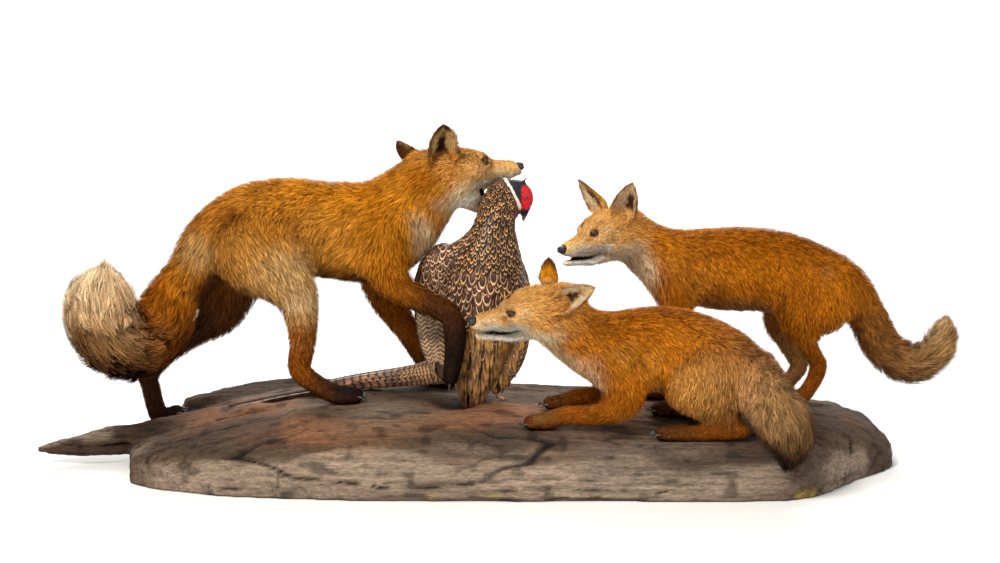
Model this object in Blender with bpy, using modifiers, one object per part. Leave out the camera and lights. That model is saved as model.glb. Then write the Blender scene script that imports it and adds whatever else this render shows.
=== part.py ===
"""A museum group on a weathered log: an adult red fox with a pheasant in its mouth and two young foxes.

Metres, +Z up. The animals face along X and the origin is under the middle of the log.
Each fox is lofted from its joints, fused, smoothed and thinned, and the adult is then parted by thin cuts.
"""

import math
from dataclasses import dataclass, field

import bmesh
import bpy
import numpy as np
from mathutils import Matrix, Vector, noise

GAP = 0.0004  # clearance between pieces that touch
CUT = 0.0006  # thickness of the thin cuts that part the adult fox
VOXEL = 0.0030  # grain of the fused bodies before they are thinned
KEENNESS = 2.0  # how strongly the thinning spares heads and paws
SOLE = 0.0025  # how deep a paw settles into the wood

# ---------------------------------------------------------------------------------------------
# The log: a rounded slab, a branch that runs out to the left, and a hump at the back

LOG_LEFT, LOG_RIGHT = -0.600, 0.785
LOG_STATIONS = (
    # along, middle of the depth, half depth, crown height
    (-0.600, -0.030, 0.085, 0.045),
    (-0.555, -0.015, 0.135, 0.064),
    (-0.500, -0.005, 0.175, 0.080),
    (-0.435, -0.003, 0.203, 0.096),
    (-0.300, 0.000, 0.224, 0.124),
    (-0.150, 0.000, 0.235, 0.137),
    (0.050, 0.000, 0.238, 0.130),
    (0.200, 0.000, 0.238, 0.120),
    (0.400, 0.000, 0.238, 0.104),
    (0.590, 0.000, 0.235, 0.097),
    (0.640, 0.025, 0.210, 0.094),
    (0.700, 0.055, 0.170, 0.086),
    (0.745, 0.065, 0.125, 0.070),
    (0.782, 0.042, 0.058, 0.035),
)
LOG_ROUNDNESS = 3.2
BRANCH = (
    # x, y, z, half width, half depth
    (-0.360, 0.010, 0.084, 0.050, 0.036),
    (-0.500, 0.045, 0.056, 0.046, 0.034),
    (-0.610, 0.035, 0.042, 0.036, 0.026),
    (-0.700, 0.012, 0.034, 0.026, 0.020),
    (-0.775, 0.000, 0.030, 0.014, 0.009),
)
HUMP = ((-0.500, 0.150, 0.040, 0.045, 0.050), (-0.400, 0.175, 0.052, 0.060, 0.062),
        (-0.270, 0.185, 0.052, 0.055, 0.066), (-0.180, 0.180, 0.040, 0.040, 0.060))

# ---------------------------------------------------------------------------------------------
# Proportions that every fox shares. Lengths are for an adult, coat included

SPINE_WIDTHS = (1.00, 0.92, 0.86, 0.80, 0.80, 0.82, 0.86, 0.88, 0.87)  # of the depth, tail root to nape
HIND_LEG = (  # half width, half depth: hip, thigh, knee, shank, hock, instep, ball, toe
    (0.042, 0.076), (0.044, 0.080), (0.034, 0.046), (0.022, 0.026),
    (0.017, 0.022), (0.0175, 0.018), (0.021, 0.0175), (0.018, 0.012),
)
FORE_LEG = (  # shoulder, elbow, forearm, wrist, palm, toe
    (0.038, 0.064), (0.030, 0.040), (0.022, 0.027), (0.018, 0.021), (0.0205, 0.0185), (0.018, 0.012),
)
SKULL = (  # forward of the ears, top, bottom, half width
    (-0.040, 0.043, -0.040, 0.043),
    (-0.010, 0.049, -0.040, 0.052),
    (0.025, 0.0475, -0.036, 0.052),
    (0.055, 0.0430, -0.034, 0.046),
    (0.075, 0.0350, -0.0315, 0.036),
    (0.088, 0.0275, -0.0275, 0.0275),
    (0.100, 0.0220, -0.0225, 0.0225),
    (0.115, 0.0185, -0.0175, 0.0195),
    (0.135, 0.0165, -0.0130, 0.0170),
    (0.149, 0.0140, -0.0110, 0.0140),
)
CHEEK = ((0.050, 0.028, -0.012, 0.017, 0.022), (0.020, 0.040, -0.014, 0.021, 0.028),
         (-0.018, 0.043, -0.018, 0.019, 0.030))
JAW = (  # forward, top, bottom, half width, with the mouth shut
    (0.000, -0.008, -0.060, 0.036),
    (0.035, -0.020, -0.060, 0.031),
    (0.066, -0.0310, -0.0550, 0.0240),
    (0.085, -0.0310, -0.0500, 0.0195),
    (0.105, -0.0245, -0.0420, 0.0160),
    (0.125, -0.0185, -0.0360, 0.0140),
    (0.137, -0.0170, -0.0320, 0.0115),
)
LIPS_FROM = 0.080  # forward of here the lips may hang lower than the adult's
JAW_HINGE = (0.030, -0.020)
EYE_AT = (0.0795, 0.0245, 0.0215)
EYE_RADIUS = 0.0085
NOSE_AT = (0.1535, 0.0, 0.0035)
NOSE_RADIUS = 0.0085
EAR_WALL = 0.0055
EAR_ROOT = 0.014  # where an ear is parted from the head, above its base
JAW_CUT = (0.060, 0.0, -0.0590)
# How much wider and deeper than the leg its space is, joint by joint
HIND_SWELL = ((1.50, 1.04), (1.60, 1.20), (1.60, 1.45), (1.60, 1.60))
FORE_SWELL = ((1.50, 1.10), (1.55, 1.40), (1.60, 1.60))


@dataclass
class Ear:
    """One ear in its head's frame: its base, the way it points and the way it opens."""

    base: tuple
    points: tuple
    opens: tuple
    length: float = 0.088
    half_width: float = 0.029
    bluntness: float = 2.6  # how long the ear stays broad before it closes at the tip


@dataclass
class Fox:
    """A fox's pose: the joints it is lofted through, in metres. A foot's height comes from the log."""

    name: str
    size: float
    spine: tuple  # x, y, z, half depth from tail root to nape
    legs: dict
    tail: tuple  # x, y, z, radius
    head_at: tuple
    head_turn: tuple  # yaw, pitch and roll in degrees
    head_size: float
    gape: float
    ears: tuple
    lips: float = 0.0  # how much lower the lips and the jaw hang than in the table
    faces: float = 1.0  # +1 towards +X, -1 towards -X
    triangles: int = 1500
    raised: tuple = field(default_factory=tuple)  # legs whose foot is off the log


def log_section(x):
    """(middle, half depth, crown height) of the log's slab at x."""
    rows = np.array(LOG_STATIONS)
    return tuple(float(np.interp(x, rows[:, 0], rows[:, k])) for k in (1, 2, 3))


def ground(x, y):
    """Height of the slab's top at x, y."""
    middle, half, crown = log_section(x)
    reach = min(abs(y - middle) / half, 0.999)
    return crown * (1.0 - reach**LOG_ROUNDNESS) ** (1.0 / LOG_ROUNDNESS)


# ---------------------------------------------------------------------------------------------
# Shared shop tools


def clear_scene():
    for old in list(bpy.data.objects):
        bpy.data.objects.remove(old)


def new_object(name, mesh, collection):
    made = bpy.data.objects.new(name, mesh)
    collection.objects.link(made)
    return made


def finish(name, colour, roughness):
    """A Principled material."""
    made = bpy.data.materials.new(name)
    made.use_nodes = True
    shader = made.node_tree.nodes["Principled BSDF"]
    shader.inputs["Base Color"].default_value = (*colour, 1.0)
    shader.inputs["Roughness"].default_value = roughness
    return made


def smooth_rows(rows, per_span=4):
    """Rows of numbers on a Catmull-Rom curve through the given rows."""
    rows = np.array(rows, float)
    padded = np.vstack([2 * rows[0] - rows[1], rows, 2 * rows[-1] - rows[-2]])
    out = []
    for k in range(len(rows) - 1):
        a, b, c, d = padded[k : k + 4]
        for t in np.arange(per_span) / per_span:
            out.append(0.5 * (2 * b + (c - a) * t + (2 * a - 5 * b + 4 * c - d) * t**2
                              + (3 * b - a - 3 * c + d) * t**3))
    out.append(rows[-1])
    return np.array(out)


def loft(bm, rows, across, sides=14, per_span=4):
    """A closed limb through rows of x, y, z, half width (towards across) and half depth, with round ends."""
    path = smooth_rows(rows, per_span)
    points, sizes = path[:, :3], np.maximum(path[:, 3:5], 0.002)
    along = np.gradient(points, axis=0)
    along /= np.linalg.norm(along, axis=1)[:, None]
    start, end = sizes[0].mean() * 0.7, sizes[-1].mean() * 0.9
    caps = [(math.cos(a), math.sin(a)) for a in (1.25, 0.85, 0.4)]
    rings = [(points[0] - along[0] * start * s, along[0], sizes[0] * c) for c, s in caps]
    rings += list(zip(points, along, sizes))
    rings += [(points[-1] + along[-1] * end * s, along[-1], sizes[-1] * c) for c, s in reversed(caps)]
    loops = []
    for centre, forward, (half_width, half_depth) in rings:
        side = np.array(across, float) - np.dot(across, forward) * forward
        side /= np.linalg.norm(side)
        up = np.cross(forward, side)
        turn = [2 * math.pi * k / sides for k in range(sides)]
        loops.append([bm.verts.new(centre + side * half_width * math.cos(a) + up * half_depth * math.sin(a))
                      for a in turn])
    for low, high in zip(loops, loops[1:]):
        for k in range(sides):
            n = (k + 1) % sides
            bm.faces.new((low[k], low[n], high[n], high[k]))
    bm.faces.new(list(reversed(loops[0])))
    bm.faces.new(loops[-1])


def fused(name, bm, triangles, collection, smoothing=6, voxel=VOXEL, keen=()):
    """One closed skin round everything in bm, smoothed and thinned; keen spheres keep more detail."""
    mesh = bpy.data.meshes.new(name)
    bm.to_mesh(mesh)
    bm.free()
    made = new_object(name, mesh, collection)
    remesh = made.modifiers.new("fuse", "REMESH")
    remesh.mode = "VOXEL"
    remesh.voxel_size = voxel
    relax = made.modifiers.new("relax", "SMOOTH")
    relax.factor = 0.5
    relax.iterations = smoothing
    applied(made)
    thin(made, triangles, keen)
    keep_largest(made)
    return made


def thin(made, triangles, keen=()):
    """Collapses edges until the object has about so many triangles."""
    faces = sum(len(p.vertices) - 2 for p in made.data.polygons)
    if faces > triangles:
        fewer = made.modifiers.new("thin", "DECIMATE")
        if keen:
            group = made.vertex_groups.new(name="thin_here")
            for vertex in made.data.vertices:
                near = any((vertex.co - centre).length < radius for centre, radius in keen)
                group.add([vertex.index], 0.2 if near else 1.0, "REPLACE")
            fewer.vertex_group = group.name
            fewer.vertex_group_factor = KEENNESS
        fewer.ratio = triangles / faces
        fewer.use_collapse_triangulate = True
        applied(made)


def applied(made):
    """Replaces the object's mesh by what its modifiers make of it."""
    bpy.context.view_layer.update()
    graph = bpy.context.evaluated_depsgraph_get()
    mesh = bpy.data.meshes.new_from_object(made.evaluated_get(graph))
    made.modifiers.clear()
    made.data = mesh


def keep_largest(made):
    """Drops every loose body but the largest one."""
    bm = bmesh.new()
    bm.from_mesh(made.data)
    left, bodies = set(bm.verts), []
    while left:
        edge, body = [left.pop()], set()
        while edge:
            vertex = edge.pop()
            body.add(vertex)
            fresh = [e.other_vert(vertex) for e in vertex.link_edges]
            fresh = [v for v in fresh if v in left]
            left.difference_update(fresh)
            edge += fresh
        bodies.append(body)
    largest = max(bodies, key=len, default=set())
    bmesh.ops.delete(bm, geom=[v for v in bm.verts if v not in largest], context="VERTS")
    bm.to_mesh(made.data)
    bm.free()


def cut(made, cutter, operation="DIFFERENCE"):
    """Cuts the object with another one and keeps the largest body of the result."""
    boolean = made.modifiers.new("cut", "BOOLEAN")
    boolean.operation = operation
    boolean.solver = "EXACT"
    boolean.object = cutter
    applied(made)
    keep_largest(made)


def swollen(source, collection, by=GAP):
    """A copy of a solid grown by the clearance, to cut its neighbours with."""
    made = new_object(source.name + "_clearance", source.data.copy(), collection)
    grow = made.modifiers.new("grow", "DISPLACE")
    grow.mid_level = 0.0
    grow.strength = by
    applied(made)
    made.hide_render = True
    made.display_type = "WIRE"
    return made


def ball(name, collection, centre, radii, turn=None, segments=10, rings=7):
    bm = bmesh.new()
    bmesh.ops.create_uvsphere(bm, u_segments=segments, v_segments=rings, radius=1.0)
    frame = turn.to_4x4() if turn else Matrix.Identity(4)
    bm.transform(Matrix.Translation(centre) @ frame @ Matrix.Diagonal((*radii, 1.0)))
    mesh = bpy.data.meshes.new(name)
    bm.to_mesh(mesh)
    bm.free()
    return new_object(name, mesh, collection)


# ---------------------------------------------------------------------------------------------
# A fox


def head_frame(fox):
    """Matrix whose columns are forward, towards the left ear, and the crown's up."""
    yaw, pitch, roll = (math.radians(a) for a in fox.head_turn)
    heading = Matrix.Rotation(yaw + (0.0 if fox.faces > 0 else math.pi), 3, "Z")
    return heading @ Matrix.Rotation(-pitch, 3, "Y") @ Matrix.Rotation(roll, 3, "X")


def head_point(fox, local):
    return Vector(fox.head_at) + head_frame(fox) @ (Vector(local) * fox.head_size)


def feet_on_log(fox, name, joints):
    """The leg's joints, with the last ones lowered onto the wood."""
    if name in fox.raised:
        return joints
    lying = 3 if name.startswith("hind") else 2
    table = HIND_LEG if name.startswith("hind") else FORE_LEG
    out = list(joints)
    for k in range(-lying, 0):
        x, y, z = joints[k]
        if z is None:
            z = ground(x, y) + table[k][1] * fox.size - SOLE
        out[k] = (x, y, z)
    return out


def add_leg(bm, fox, name, joints):
    table = HIND_LEG if name.startswith("hind") else FORE_LEG
    joints = feet_on_log(fox, name, joints)
    rows = [(*at, w * fox.size, d * fox.size) for at, (w, d) in zip(joints, table)]
    loft(bm, rows, (0.0, 1.0, 0.0))
    ball_of_foot, tip = Vector(joints[-2]), Vector(joints[-1])
    forward = (tip - ball_of_foot).normalized()
    spread = Vector((0.0, 1.0, 0.0))
    for k in range(4):  # toes: the two middle ones reach further
        offset = (k - 1.5) * 0.0105 * fox.size
        reach = (0.009 if k in (1, 2) else 0.002) * fox.size
        root = ball_of_foot.lerp(tip, 0.4) + spread * offset * 0.8
        end = tip + spread * offset + forward * reach
        radius = 0.0075 * fox.size
        loft(bm, [(*root, radius, radius), (*root.lerp(end, 0.5), radius * 1.1, radius * 1.25),
                  (*end, radius * 0.9, radius * 0.9)], (0.0, 1.0, 0.0), sides=8, per_span=2)


def add_ear(bm, fox, ear):
    """A cupped leaf with a wall of even thickness, its root sunk in the head."""
    frame = head_frame(fox)
    up = (frame @ Vector(ear.points)).normalized()
    opening = frame @ Vector(ear.opens)
    opening = (opening - up * opening.dot(up)).normalized()
    side = up.cross(opening)
    base = head_point(fox, ear.base)
    length, half = ear.length * fox.head_size, ear.half_width * fox.head_size
    rows, columns = 9, 9
    outer, inner = [], []
    for r in range(rows):
        v = -0.22 + 1.22 * r / (rows - 1)
        width = half * (0.90 + 0.30 * max(v, 0.0)) * max(1.0 - max(v, 0.0) ** ear.bluntness, 0.02) ** 0.62
        wrap = math.radians(100 - 62 * max(v, 0.0))
        radius = width / math.sin(min(wrap, math.pi / 2))
        wall = EAR_WALL * fox.head_size * (1.15 - 0.35 * max(v, 0.0))
        ring_out, ring_in = [], []
        for c in range(columns):
            angle = wrap * (2 * c / (columns - 1) - 1)
            direction = side * math.sin(angle) - opening * math.cos(angle)
            middle = base + up * length * v + opening * radius * math.cos(wrap) + direction * radius
            ring_out.append(bm.verts.new(middle + direction * wall / 2))
            ring_in.append(bm.verts.new(middle - direction * wall / 2))
        outer.append(ring_out)
        inner.append(ring_in)
    for low, high, flip in [(outer[r], outer[r + 1], 0) for r in range(rows - 1)] + [
        (inner[r], inner[r + 1], 1) for r in range(rows - 1)
    ]:
        for c in range(columns - 1):
            face = (low[c], low[c + 1], high[c + 1], high[c])
            bm.faces.new(face if flip else tuple(reversed(face)))
    rim = [outer[0]] + [[row[-1] for row in outer[1:]]] + [list(reversed(outer[-1]))[1:]]
    rim += [[row[0] for row in reversed(outer[1:-1])]]
    lip = [inner[0]] + [[row[-1] for row in inner[1:]]] + [list(reversed(inner[-1]))[1:]]
    lip += [[row[0] for row in reversed(inner[1:-1])]]
    rim, lip = sum(rim, []), sum(lip, [])
    for k in range(len(rim)):
        n = (k + 1) % len(rim)
        bm.faces.new((rim[k], rim[n], lip[n], lip[k]))


def add_head(bm, fox):
    frame = head_frame(fox)
    across = frame @ Vector((0.0, 1.0, 0.0))
    scale = fox.head_size
    rows = []
    for x, top, low, w in SKULL:
        low -= fox.lips if x > LIPS_FROM else 0.0
        rows.append((*head_point(fox, (x, 0.0, (top + low) / 2)), w * scale, (top - low) / 2 * scale))
    loft(bm, rows, across, sides=20)
    for side in (1, -1):
        loft(bm, [(*head_point(fox, (x, side * y, z)), w * scale, h * scale) for x, y, z, w, h in CHEEK],
             across, sides=12)
    hinge = Vector((JAW_HINGE[0], 0.0, JAW_HINGE[1]))
    drop = Matrix.Rotation(math.radians(fox.gape), 3, "Y")
    rows = []
    for x, top, low, w in JAW:
        lower = fox.lips if x > LIPS_FROM else 0.0
        at = hinge + drop @ (Vector((x, 0.0, (top + low) / 2 - lower)) - hinge)
        rows.append((*head_point(fox, at), w * scale, (top - low) / 2 * scale))
    loft(bm, rows, across, sides=14)
    for ear in fox.ears:
        add_ear(bm, fox, ear)


def whole_fox(fox, collection):
    """The fox in one piece, eyes and nose pad left out."""
    bm = bmesh.new()
    rows = [(x, y, z, d * w, d) for (x, y, z, d), w in zip(fox.spine, SPINE_WIDTHS)]
    loft(bm, rows, (0.0, 1.0, 0.0), sides=24)
    rows = [(x, y, z, d * w, d) for (x, y, z, d), w in zip(fox.spine[-2:], SPINE_WIDTHS[-2:])]
    rows.append((*head_point(fox, (0.012, 0.0, -0.012)), 0.050 * fox.head_size, 0.050 * fox.head_size))
    loft(bm, rows, (0.0, 1.0, 0.0), sides=20)
    for name, joints in fox.legs.items():
        add_leg(bm, fox, name, joints)
    loft(bm, [(x, y, z, r, r) for x, y, z, r in fox.tail], (0.0, 1.0, 0.15), sides=16)
    add_head(bm, fox)
    bmesh.ops.recalc_face_normals(bm, faces=bm.faces)
    keen = [(head_point(fox, (0.070, 0.0, 0.0)), 0.125 * fox.head_size)]
    for name, joints in fox.legs.items():
        keen.append((Vector(feet_on_log(fox, name, joints)[-1]), 0.040 * fox.size))
    return fused(fox.name, bm, fox.triangles, collection, smoothing=3, keen=keen)


ADULT = Fox(
    name="adult_fox",
    size=1.0,
    spine=(
        (-0.518, 0.040, 0.322, 0.041), (-0.453, 0.035, 0.401, 0.062), (-0.383, 0.030, 0.439, 0.079),
        (-0.310, 0.025, 0.442, 0.088), (-0.238, 0.020, 0.434, 0.089), (-0.175, 0.020, 0.430, 0.094),
        (-0.126, 0.020, 0.448, 0.090), (-0.079, 0.018, 0.495, 0.074), (-0.052, 0.010, 0.520, 0.064),
    ),
    legs={
        "hind_right": ((-0.394, -0.040, 0.425), (-0.340, -0.055, 0.391), (-0.293, -0.058, 0.330),
                       (-0.285, -0.050, 0.245), (-0.291, -0.048, 0.192), (-0.256, -0.048, 0.161),
                       (-0.224, -0.050, None), (-0.192, -0.052, None)),
        "hind_left": ((-0.440, 0.100, 0.380), (-0.436, 0.112, 0.310), (-0.442, 0.112, 0.256),
                      (-0.508, 0.105, 0.212), (-0.577, 0.095, 0.160), (-0.575, 0.085, 0.110),
                      (-0.560, 0.080, None), (-0.532, 0.076, None)),
        "fore_right": ((-0.138, -0.040, 0.445), (-0.124, -0.058, 0.357), (-0.074, -0.070, 0.327),
                       (-0.020, -0.080, 0.298), (-0.012, -0.082, 0.245), (-0.020, -0.082, 0.186)),
        "fore_left": ((-0.155, 0.080, 0.410), (-0.148, 0.088, 0.308), (-0.108, 0.085, 0.243),
                      (-0.076, 0.080, 0.188), (-0.056, 0.078, None), (-0.026, 0.075, None)),
    },
    tail=(
        (-0.498, 0.038, 0.350, 0.036), (-0.530, 0.036, 0.318, 0.046), (-0.548, 0.008, 0.270, 0.058),
        (-0.576, -0.042, 0.236, 0.064), (-0.608, -0.090, 0.246, 0.066), (-0.624, -0.112, 0.288, 0.062),
        (-0.628, -0.116, 0.336, 0.046), (-0.624, -0.112, 0.376, 0.022),
    ),
    head_at=(-0.0430, 0.0010, 0.5385),
    head_turn=(21.0, 0.5, -3.0),
    head_size=1.03,
    gape=23.0,
    ears=(
        Ear((-0.003, -0.040, 0.022), (-0.08, -0.38, 0.90), (0.45, -0.88, 0.10), 0.069, 0.030, 3.2),
        Ear((-0.008, 0.040, 0.022), (-0.42, 0.72, 0.18), (0.62, 0.20, 0.75), 0.062, 0.025, 3.2),
    ),
    triangles=2050,
    raised=("fore_right",),
)

CROUCHING = Fox(
    name="young_fox_crouching",
    size=0.88,
    spine=(
        (0.540, -0.110, 0.203, 0.032), (0.508, -0.110, 0.207, 0.051), (0.460, -0.110, 0.226, 0.062),
        (0.404, -0.110, 0.243, 0.071), (0.342, -0.112, 0.245, 0.078), (0.283, -0.116, 0.243, 0.074),
        (0.240, -0.125, 0.254, 0.064), (0.202, -0.138, 0.276, 0.056), (0.176, -0.150, 0.298, 0.052),
    ),
    legs={
        "hind_left": ((0.478, -0.150, 0.215), (0.430, -0.168, 0.195), (0.390, -0.170, 0.178),
                      (0.446, -0.165, 0.141), (0.500, -0.160, 0.112), (0.448, -0.162, None),
                      (0.395, -0.165, None), (0.352, -0.166, None)),
        "hind_right": ((0.480, -0.070, 0.215), (0.430, -0.052, 0.195), (0.390, -0.050, 0.178),
                       (0.446, -0.052, 0.145), (0.500, -0.050, 0.122), (0.448, -0.050, None),
                       (0.395, -0.048, None), (0.352, -0.047, None)),
        "fore_left": ((0.256, -0.155, 0.250), (0.294, -0.168, 0.168), (0.243, -0.165, 0.142),
                      (0.187, -0.160, 0.137), (0.150, -0.158, None), (0.122, -0.158, None)),
        "fore_right": ((0.256, -0.082, 0.250), (0.290, -0.072, 0.172), (0.250, -0.066, 0.152),
                       (0.212, -0.062, 0.146), (0.184, -0.060, None), (0.158, -0.058, None)),
    },
    tail=(
        (0.522, -0.115, 0.214, 0.034), (0.530, -0.150, 0.204, 0.040), (0.538, -0.190, 0.176, 0.050),
        (0.553, -0.218, 0.140, 0.053), (0.560, -0.232, 0.105, 0.042), (0.558, -0.238, 0.074, 0.018),
    ),
    head_at=(0.1578, -0.158, 0.3305),
    head_turn=(6.0, -10.0, -21.0),
    head_size=0.925,
    gape=1.5,
    ears=(
        Ear((-0.008, 0.040, 0.032), (-0.90, 0.20, 0.40), (0.25, 0.62, 0.74), 0.077, 0.026, 2.4),
        Ear((-0.002, -0.034, 0.034), (-0.22, -0.36, 0.86), (0.20, -0.95, 0.25), 0.056, 0.023, 2.8),
    ),
    lips=0.006,
    faces=-1.0,
    triangles=1150,
)

STANDING = Fox(
    name="young_fox_standing",
    size=0.86,
    spine=(
        (0.742, 0.130, 0.288, 0.035), (0.707, 0.130, 0.300, 0.058), (0.646, 0.130, 0.315, 0.073),
        (0.577, 0.130, 0.335, 0.078), (0.512, 0.130, 0.339, 0.080), (0.447, 0.130, 0.341, 0.076),
        (0.396, 0.130, 0.350, 0.066), (0.350, 0.125, 0.370, 0.056), (0.318, 0.118, 0.396, 0.048),
    ),
    legs={
        "hind_left": ((0.684, 0.098, 0.310), (0.646, 0.082, 0.280), (0.612, 0.078, 0.250),
                      (0.634, 0.076, 0.208), (0.655, 0.080, 0.168), (0.640, 0.080, 0.126),
                      (0.622, 0.080, None), (0.594, 0.079, None)),
        "hind_right": ((0.684, 0.162, 0.305), (0.634, 0.180, 0.265), (0.592, 0.184, 0.230),
                       (0.610, 0.184, 0.185), (0.632, 0.182, 0.145), (0.614, 0.182, 0.114),
                       (0.596, 0.181, None), (0.568, 0.180, None)),
        "fore_left": ((0.380, 0.092, 0.335), (0.395, 0.080, 0.265), (0.388, 0.078, 0.205),
                      (0.380, 0.076, 0.150), (0.370, 0.076, None), (0.344, 0.075, None)),
        "fore_right": ((0.380, 0.168, 0.335), (0.395, 0.180, 0.265), (0.388, 0.180, 0.205),
                       (0.380, 0.178, 0.150), (0.370, 0.176, None), (0.344, 0.175, None)),
    },
    tail=(
        (0.730, 0.130, 0.290, 0.032), (0.753, 0.130, 0.245, 0.040), (0.782, 0.128, 0.190, 0.042),
        (0.824, 0.120, 0.160, 0.040), (0.864, 0.110, 0.174, 0.038), (0.885, 0.103, 0.212, 0.034),
        (0.884, 0.100, 0.250, 0.014),
    ),
    head_at=(0.2800, 0.100, 0.4190),
    head_turn=(41.0, -10.0, -1.0),
    head_size=0.895,
    gape=0.5,
    ears=(
        Ear((0.014, 0.036, 0.036), (-0.20, 0.34, 0.92), (0.80, 0.58, 0.10), 0.078, 0.026, 2.6),
        Ear((0.010, -0.036, 0.036), (0.06, -0.56, 0.82), (0.95, -0.15, 0.10), 0.074, 0.024, 2.4),
    ),
    lips=0.003,
    faces=-1.0,
    triangles=1150,
)

# ---------------------------------------------------------------------------------------------
# The pheasant: rows of x, y, z, half width, half depth

BIRD_BODY = (
    (0.078, 0.010, 0.520, 0.016, 0.017), (0.070, -0.010, 0.492, 0.024, 0.024),
    (0.056, -0.026, 0.448, 0.044, 0.036), (0.048, -0.028, 0.392, 0.062, 0.048),
    (0.046, -0.025, 0.333, 0.068, 0.054), (0.039, -0.020, 0.273, 0.062, 0.050),
    (0.030, -0.018, 0.217, 0.050, 0.042), (0.022, -0.018, 0.165, 0.034, 0.034),
    (0.018, -0.018, 0.135, 0.020, 0.026),
)
BIRD_HEAD = (
    (0.070, 0.010, 0.512, 0.015, 0.015), (0.092, 0.014, 0.524, 0.015, 0.014),
    (0.108, 0.014, 0.512, 0.017, 0.016), (0.113, 0.012, 0.490, 0.017, 0.016),
    (0.112, 0.010, 0.470, 0.012, 0.010), (0.109, 0.010, 0.450, 0.005, 0.005),
)
BIRD_WINGS = (
    (
        (-0.030, -0.010, 0.395, 0.030, 0.030), (-0.050, -0.012, 0.350, 0.036, 0.024),
        (-0.052, -0.012, 0.290, 0.034, 0.018), (-0.046, -0.012, 0.230, 0.028, 0.014),
        (-0.034, -0.014, 0.172, 0.014, 0.010),
    ),
    (
        (0.080, -0.014, 0.385, 0.028, 0.030), (0.094, -0.010, 0.330, 0.030, 0.024),
        (0.094, -0.012, 0.265, 0.030, 0.018), (0.084, -0.016, 0.205, 0.026, 0.014),
        (0.062, -0.018, 0.155, 0.014, 0.010),
    ),
)
BIRD_TAIL = (
    (0.014, 0.000, 0.190, 0.020, 0.030), (-0.046, 0.012, 0.174, 0.024, 0.024),
    (-0.105, 0.022, 0.162, 0.022, 0.016), (-0.205, 0.030, 0.148, 0.018, 0.010),
    (-0.315, 0.034, 0.128, 0.012, 0.007), (-0.430, 0.034, 0.103, 0.006, 0.005),
)


def whole_bird(collection):
    bm = bmesh.new()
    across = (1.0, 0.0, 0.0)
    loft(bm, BIRD_BODY, across, sides=18)
    loft(bm, BIRD_HEAD, (0.0, 1.0, 0.0), sides=12)
    for wing in BIRD_WINGS:
        loft(bm, wing, across, sides=12)
    loft(bm, BIRD_TAIL, (0.0, 1.0, 0.0), sides=12)
    bmesh.ops.recalc_face_normals(bm, faces=bm.faces)
    return fused("pheasant", bm, 1050, collection, smoothing=4)


def whole_log(collection):
    """The slab, its branch and hump in one piece, with grain along X and a flat underside."""
    bm = bmesh.new()
    rows = []
    for x in np.linspace(LOG_LEFT, LOG_RIGHT, 32):
        middle, half, crown = log_section(x)
        ring = []
        for k in range(26):
            y = middle + half * math.cos(math.pi * k / 25) * 0.999
            ring.append(bm.verts.new((x, y, max(ground(x, y), 0.004))))
        ring += [bm.verts.new((x, middle + half * s, -0.03)) for s in (-0.96, -0.3, 0.3, 0.96)]
        rows.append(ring)
    for low, high in zip(rows, rows[1:]):
        for k in range(len(low)):
            n = (k + 1) % len(low)
            bm.faces.new((low[k], low[n], high[n], high[k]))
    bm.faces.new(rows[0])
    bm.faces.new(list(reversed(rows[-1])))
    loft(bm, BRANCH, (0.0, 1.0, 0.0), sides=12)
    loft(bm, HUMP, (0.0, 1.0, 0.0), sides=12)
    bmesh.ops.recalc_face_normals(bm, faces=bm.faces)
    made = fused("log", bm, 10**6, collection, smoothing=3, voxel=0.007)
    outward = [vertex.normal.copy() for vertex in made.data.vertices]
    for vertex, normal in zip(made.data.vertices, outward):
        x, y, z = vertex.co
        worn = noise.noise(Vector((x * 3.0, y * 16.0, z * 16.0)))
        rough = noise.noise(Vector((x * 14.0, y * 30.0, z * 30.0 + 7.0)))
        edge = min(1.0, abs(y) / 0.22) ** 3 + max(0.0, abs(x - 0.09) - 0.5) * 3.0
        vertex.co += normal * ((0.0035 * worn + 0.002 * rough) * (1.0 + 1.6 * min(edge, 1.0)))
    thin(made, 880)
    trim_below(made, 0.0)
    return made


def trim_below(made, level):
    """Cuts off what lies under a level and closes the flat underside."""
    bm = bmesh.new()
    bm.from_mesh(made.data)
    everything = bm.verts[:] + bm.edges[:] + bm.faces[:]
    bmesh.ops.bisect_plane(bm, geom=everything, plane_co=(0, 0, level), plane_no=(0, 0, 1), clear_inner=True)
    rim = [e for e in bm.edges if e.is_boundary]
    bmesh.ops.contextual_create(bm, geom=rim)
    bmesh.ops.triangulate(bm, faces=[f for f in bm.faces if len(f.verts) > 4])
    bmesh.ops.recalc_face_normals(bm, faces=bm.faces)
    bm.to_mesh(made.data)
    bm.free()


# ---------------------------------------------------------------------------------------------
# Parting the adult


def box_ahead(name, at, forward, collection, reach=(0.30, 0.15, 0.15), up=(0.0, 0.0, 1.0)):
    """A box whose rear face passes through a point and that reaches forward from there."""
    ahead = Vector(forward).normalized()
    side = Vector(up).cross(ahead).normalized()
    frame = Matrix((ahead, side, ahead.cross(side))).transposed().to_4x4()
    bm = bmesh.new()
    bmesh.ops.create_cube(bm, size=1.0)
    bm.transform(Matrix.Diagonal((reach[0], 2 * reach[1], 2 * reach[2], 1.0)))
    bm.transform(Matrix.Translation(Vector(at) + ahead * reach[0] / 2) @ frame)
    return region(name, bm, collection)


def region(name, bm, collection):
    bmesh.ops.recalc_face_normals(bm, faces=bm.faces)
    mesh = bpy.data.meshes.new(name)
    bm.to_mesh(mesh)
    bm.free()
    made = new_object(name, mesh, collection)
    made.hide_render = True
    made.display_type = "WIRE"
    return made


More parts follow.
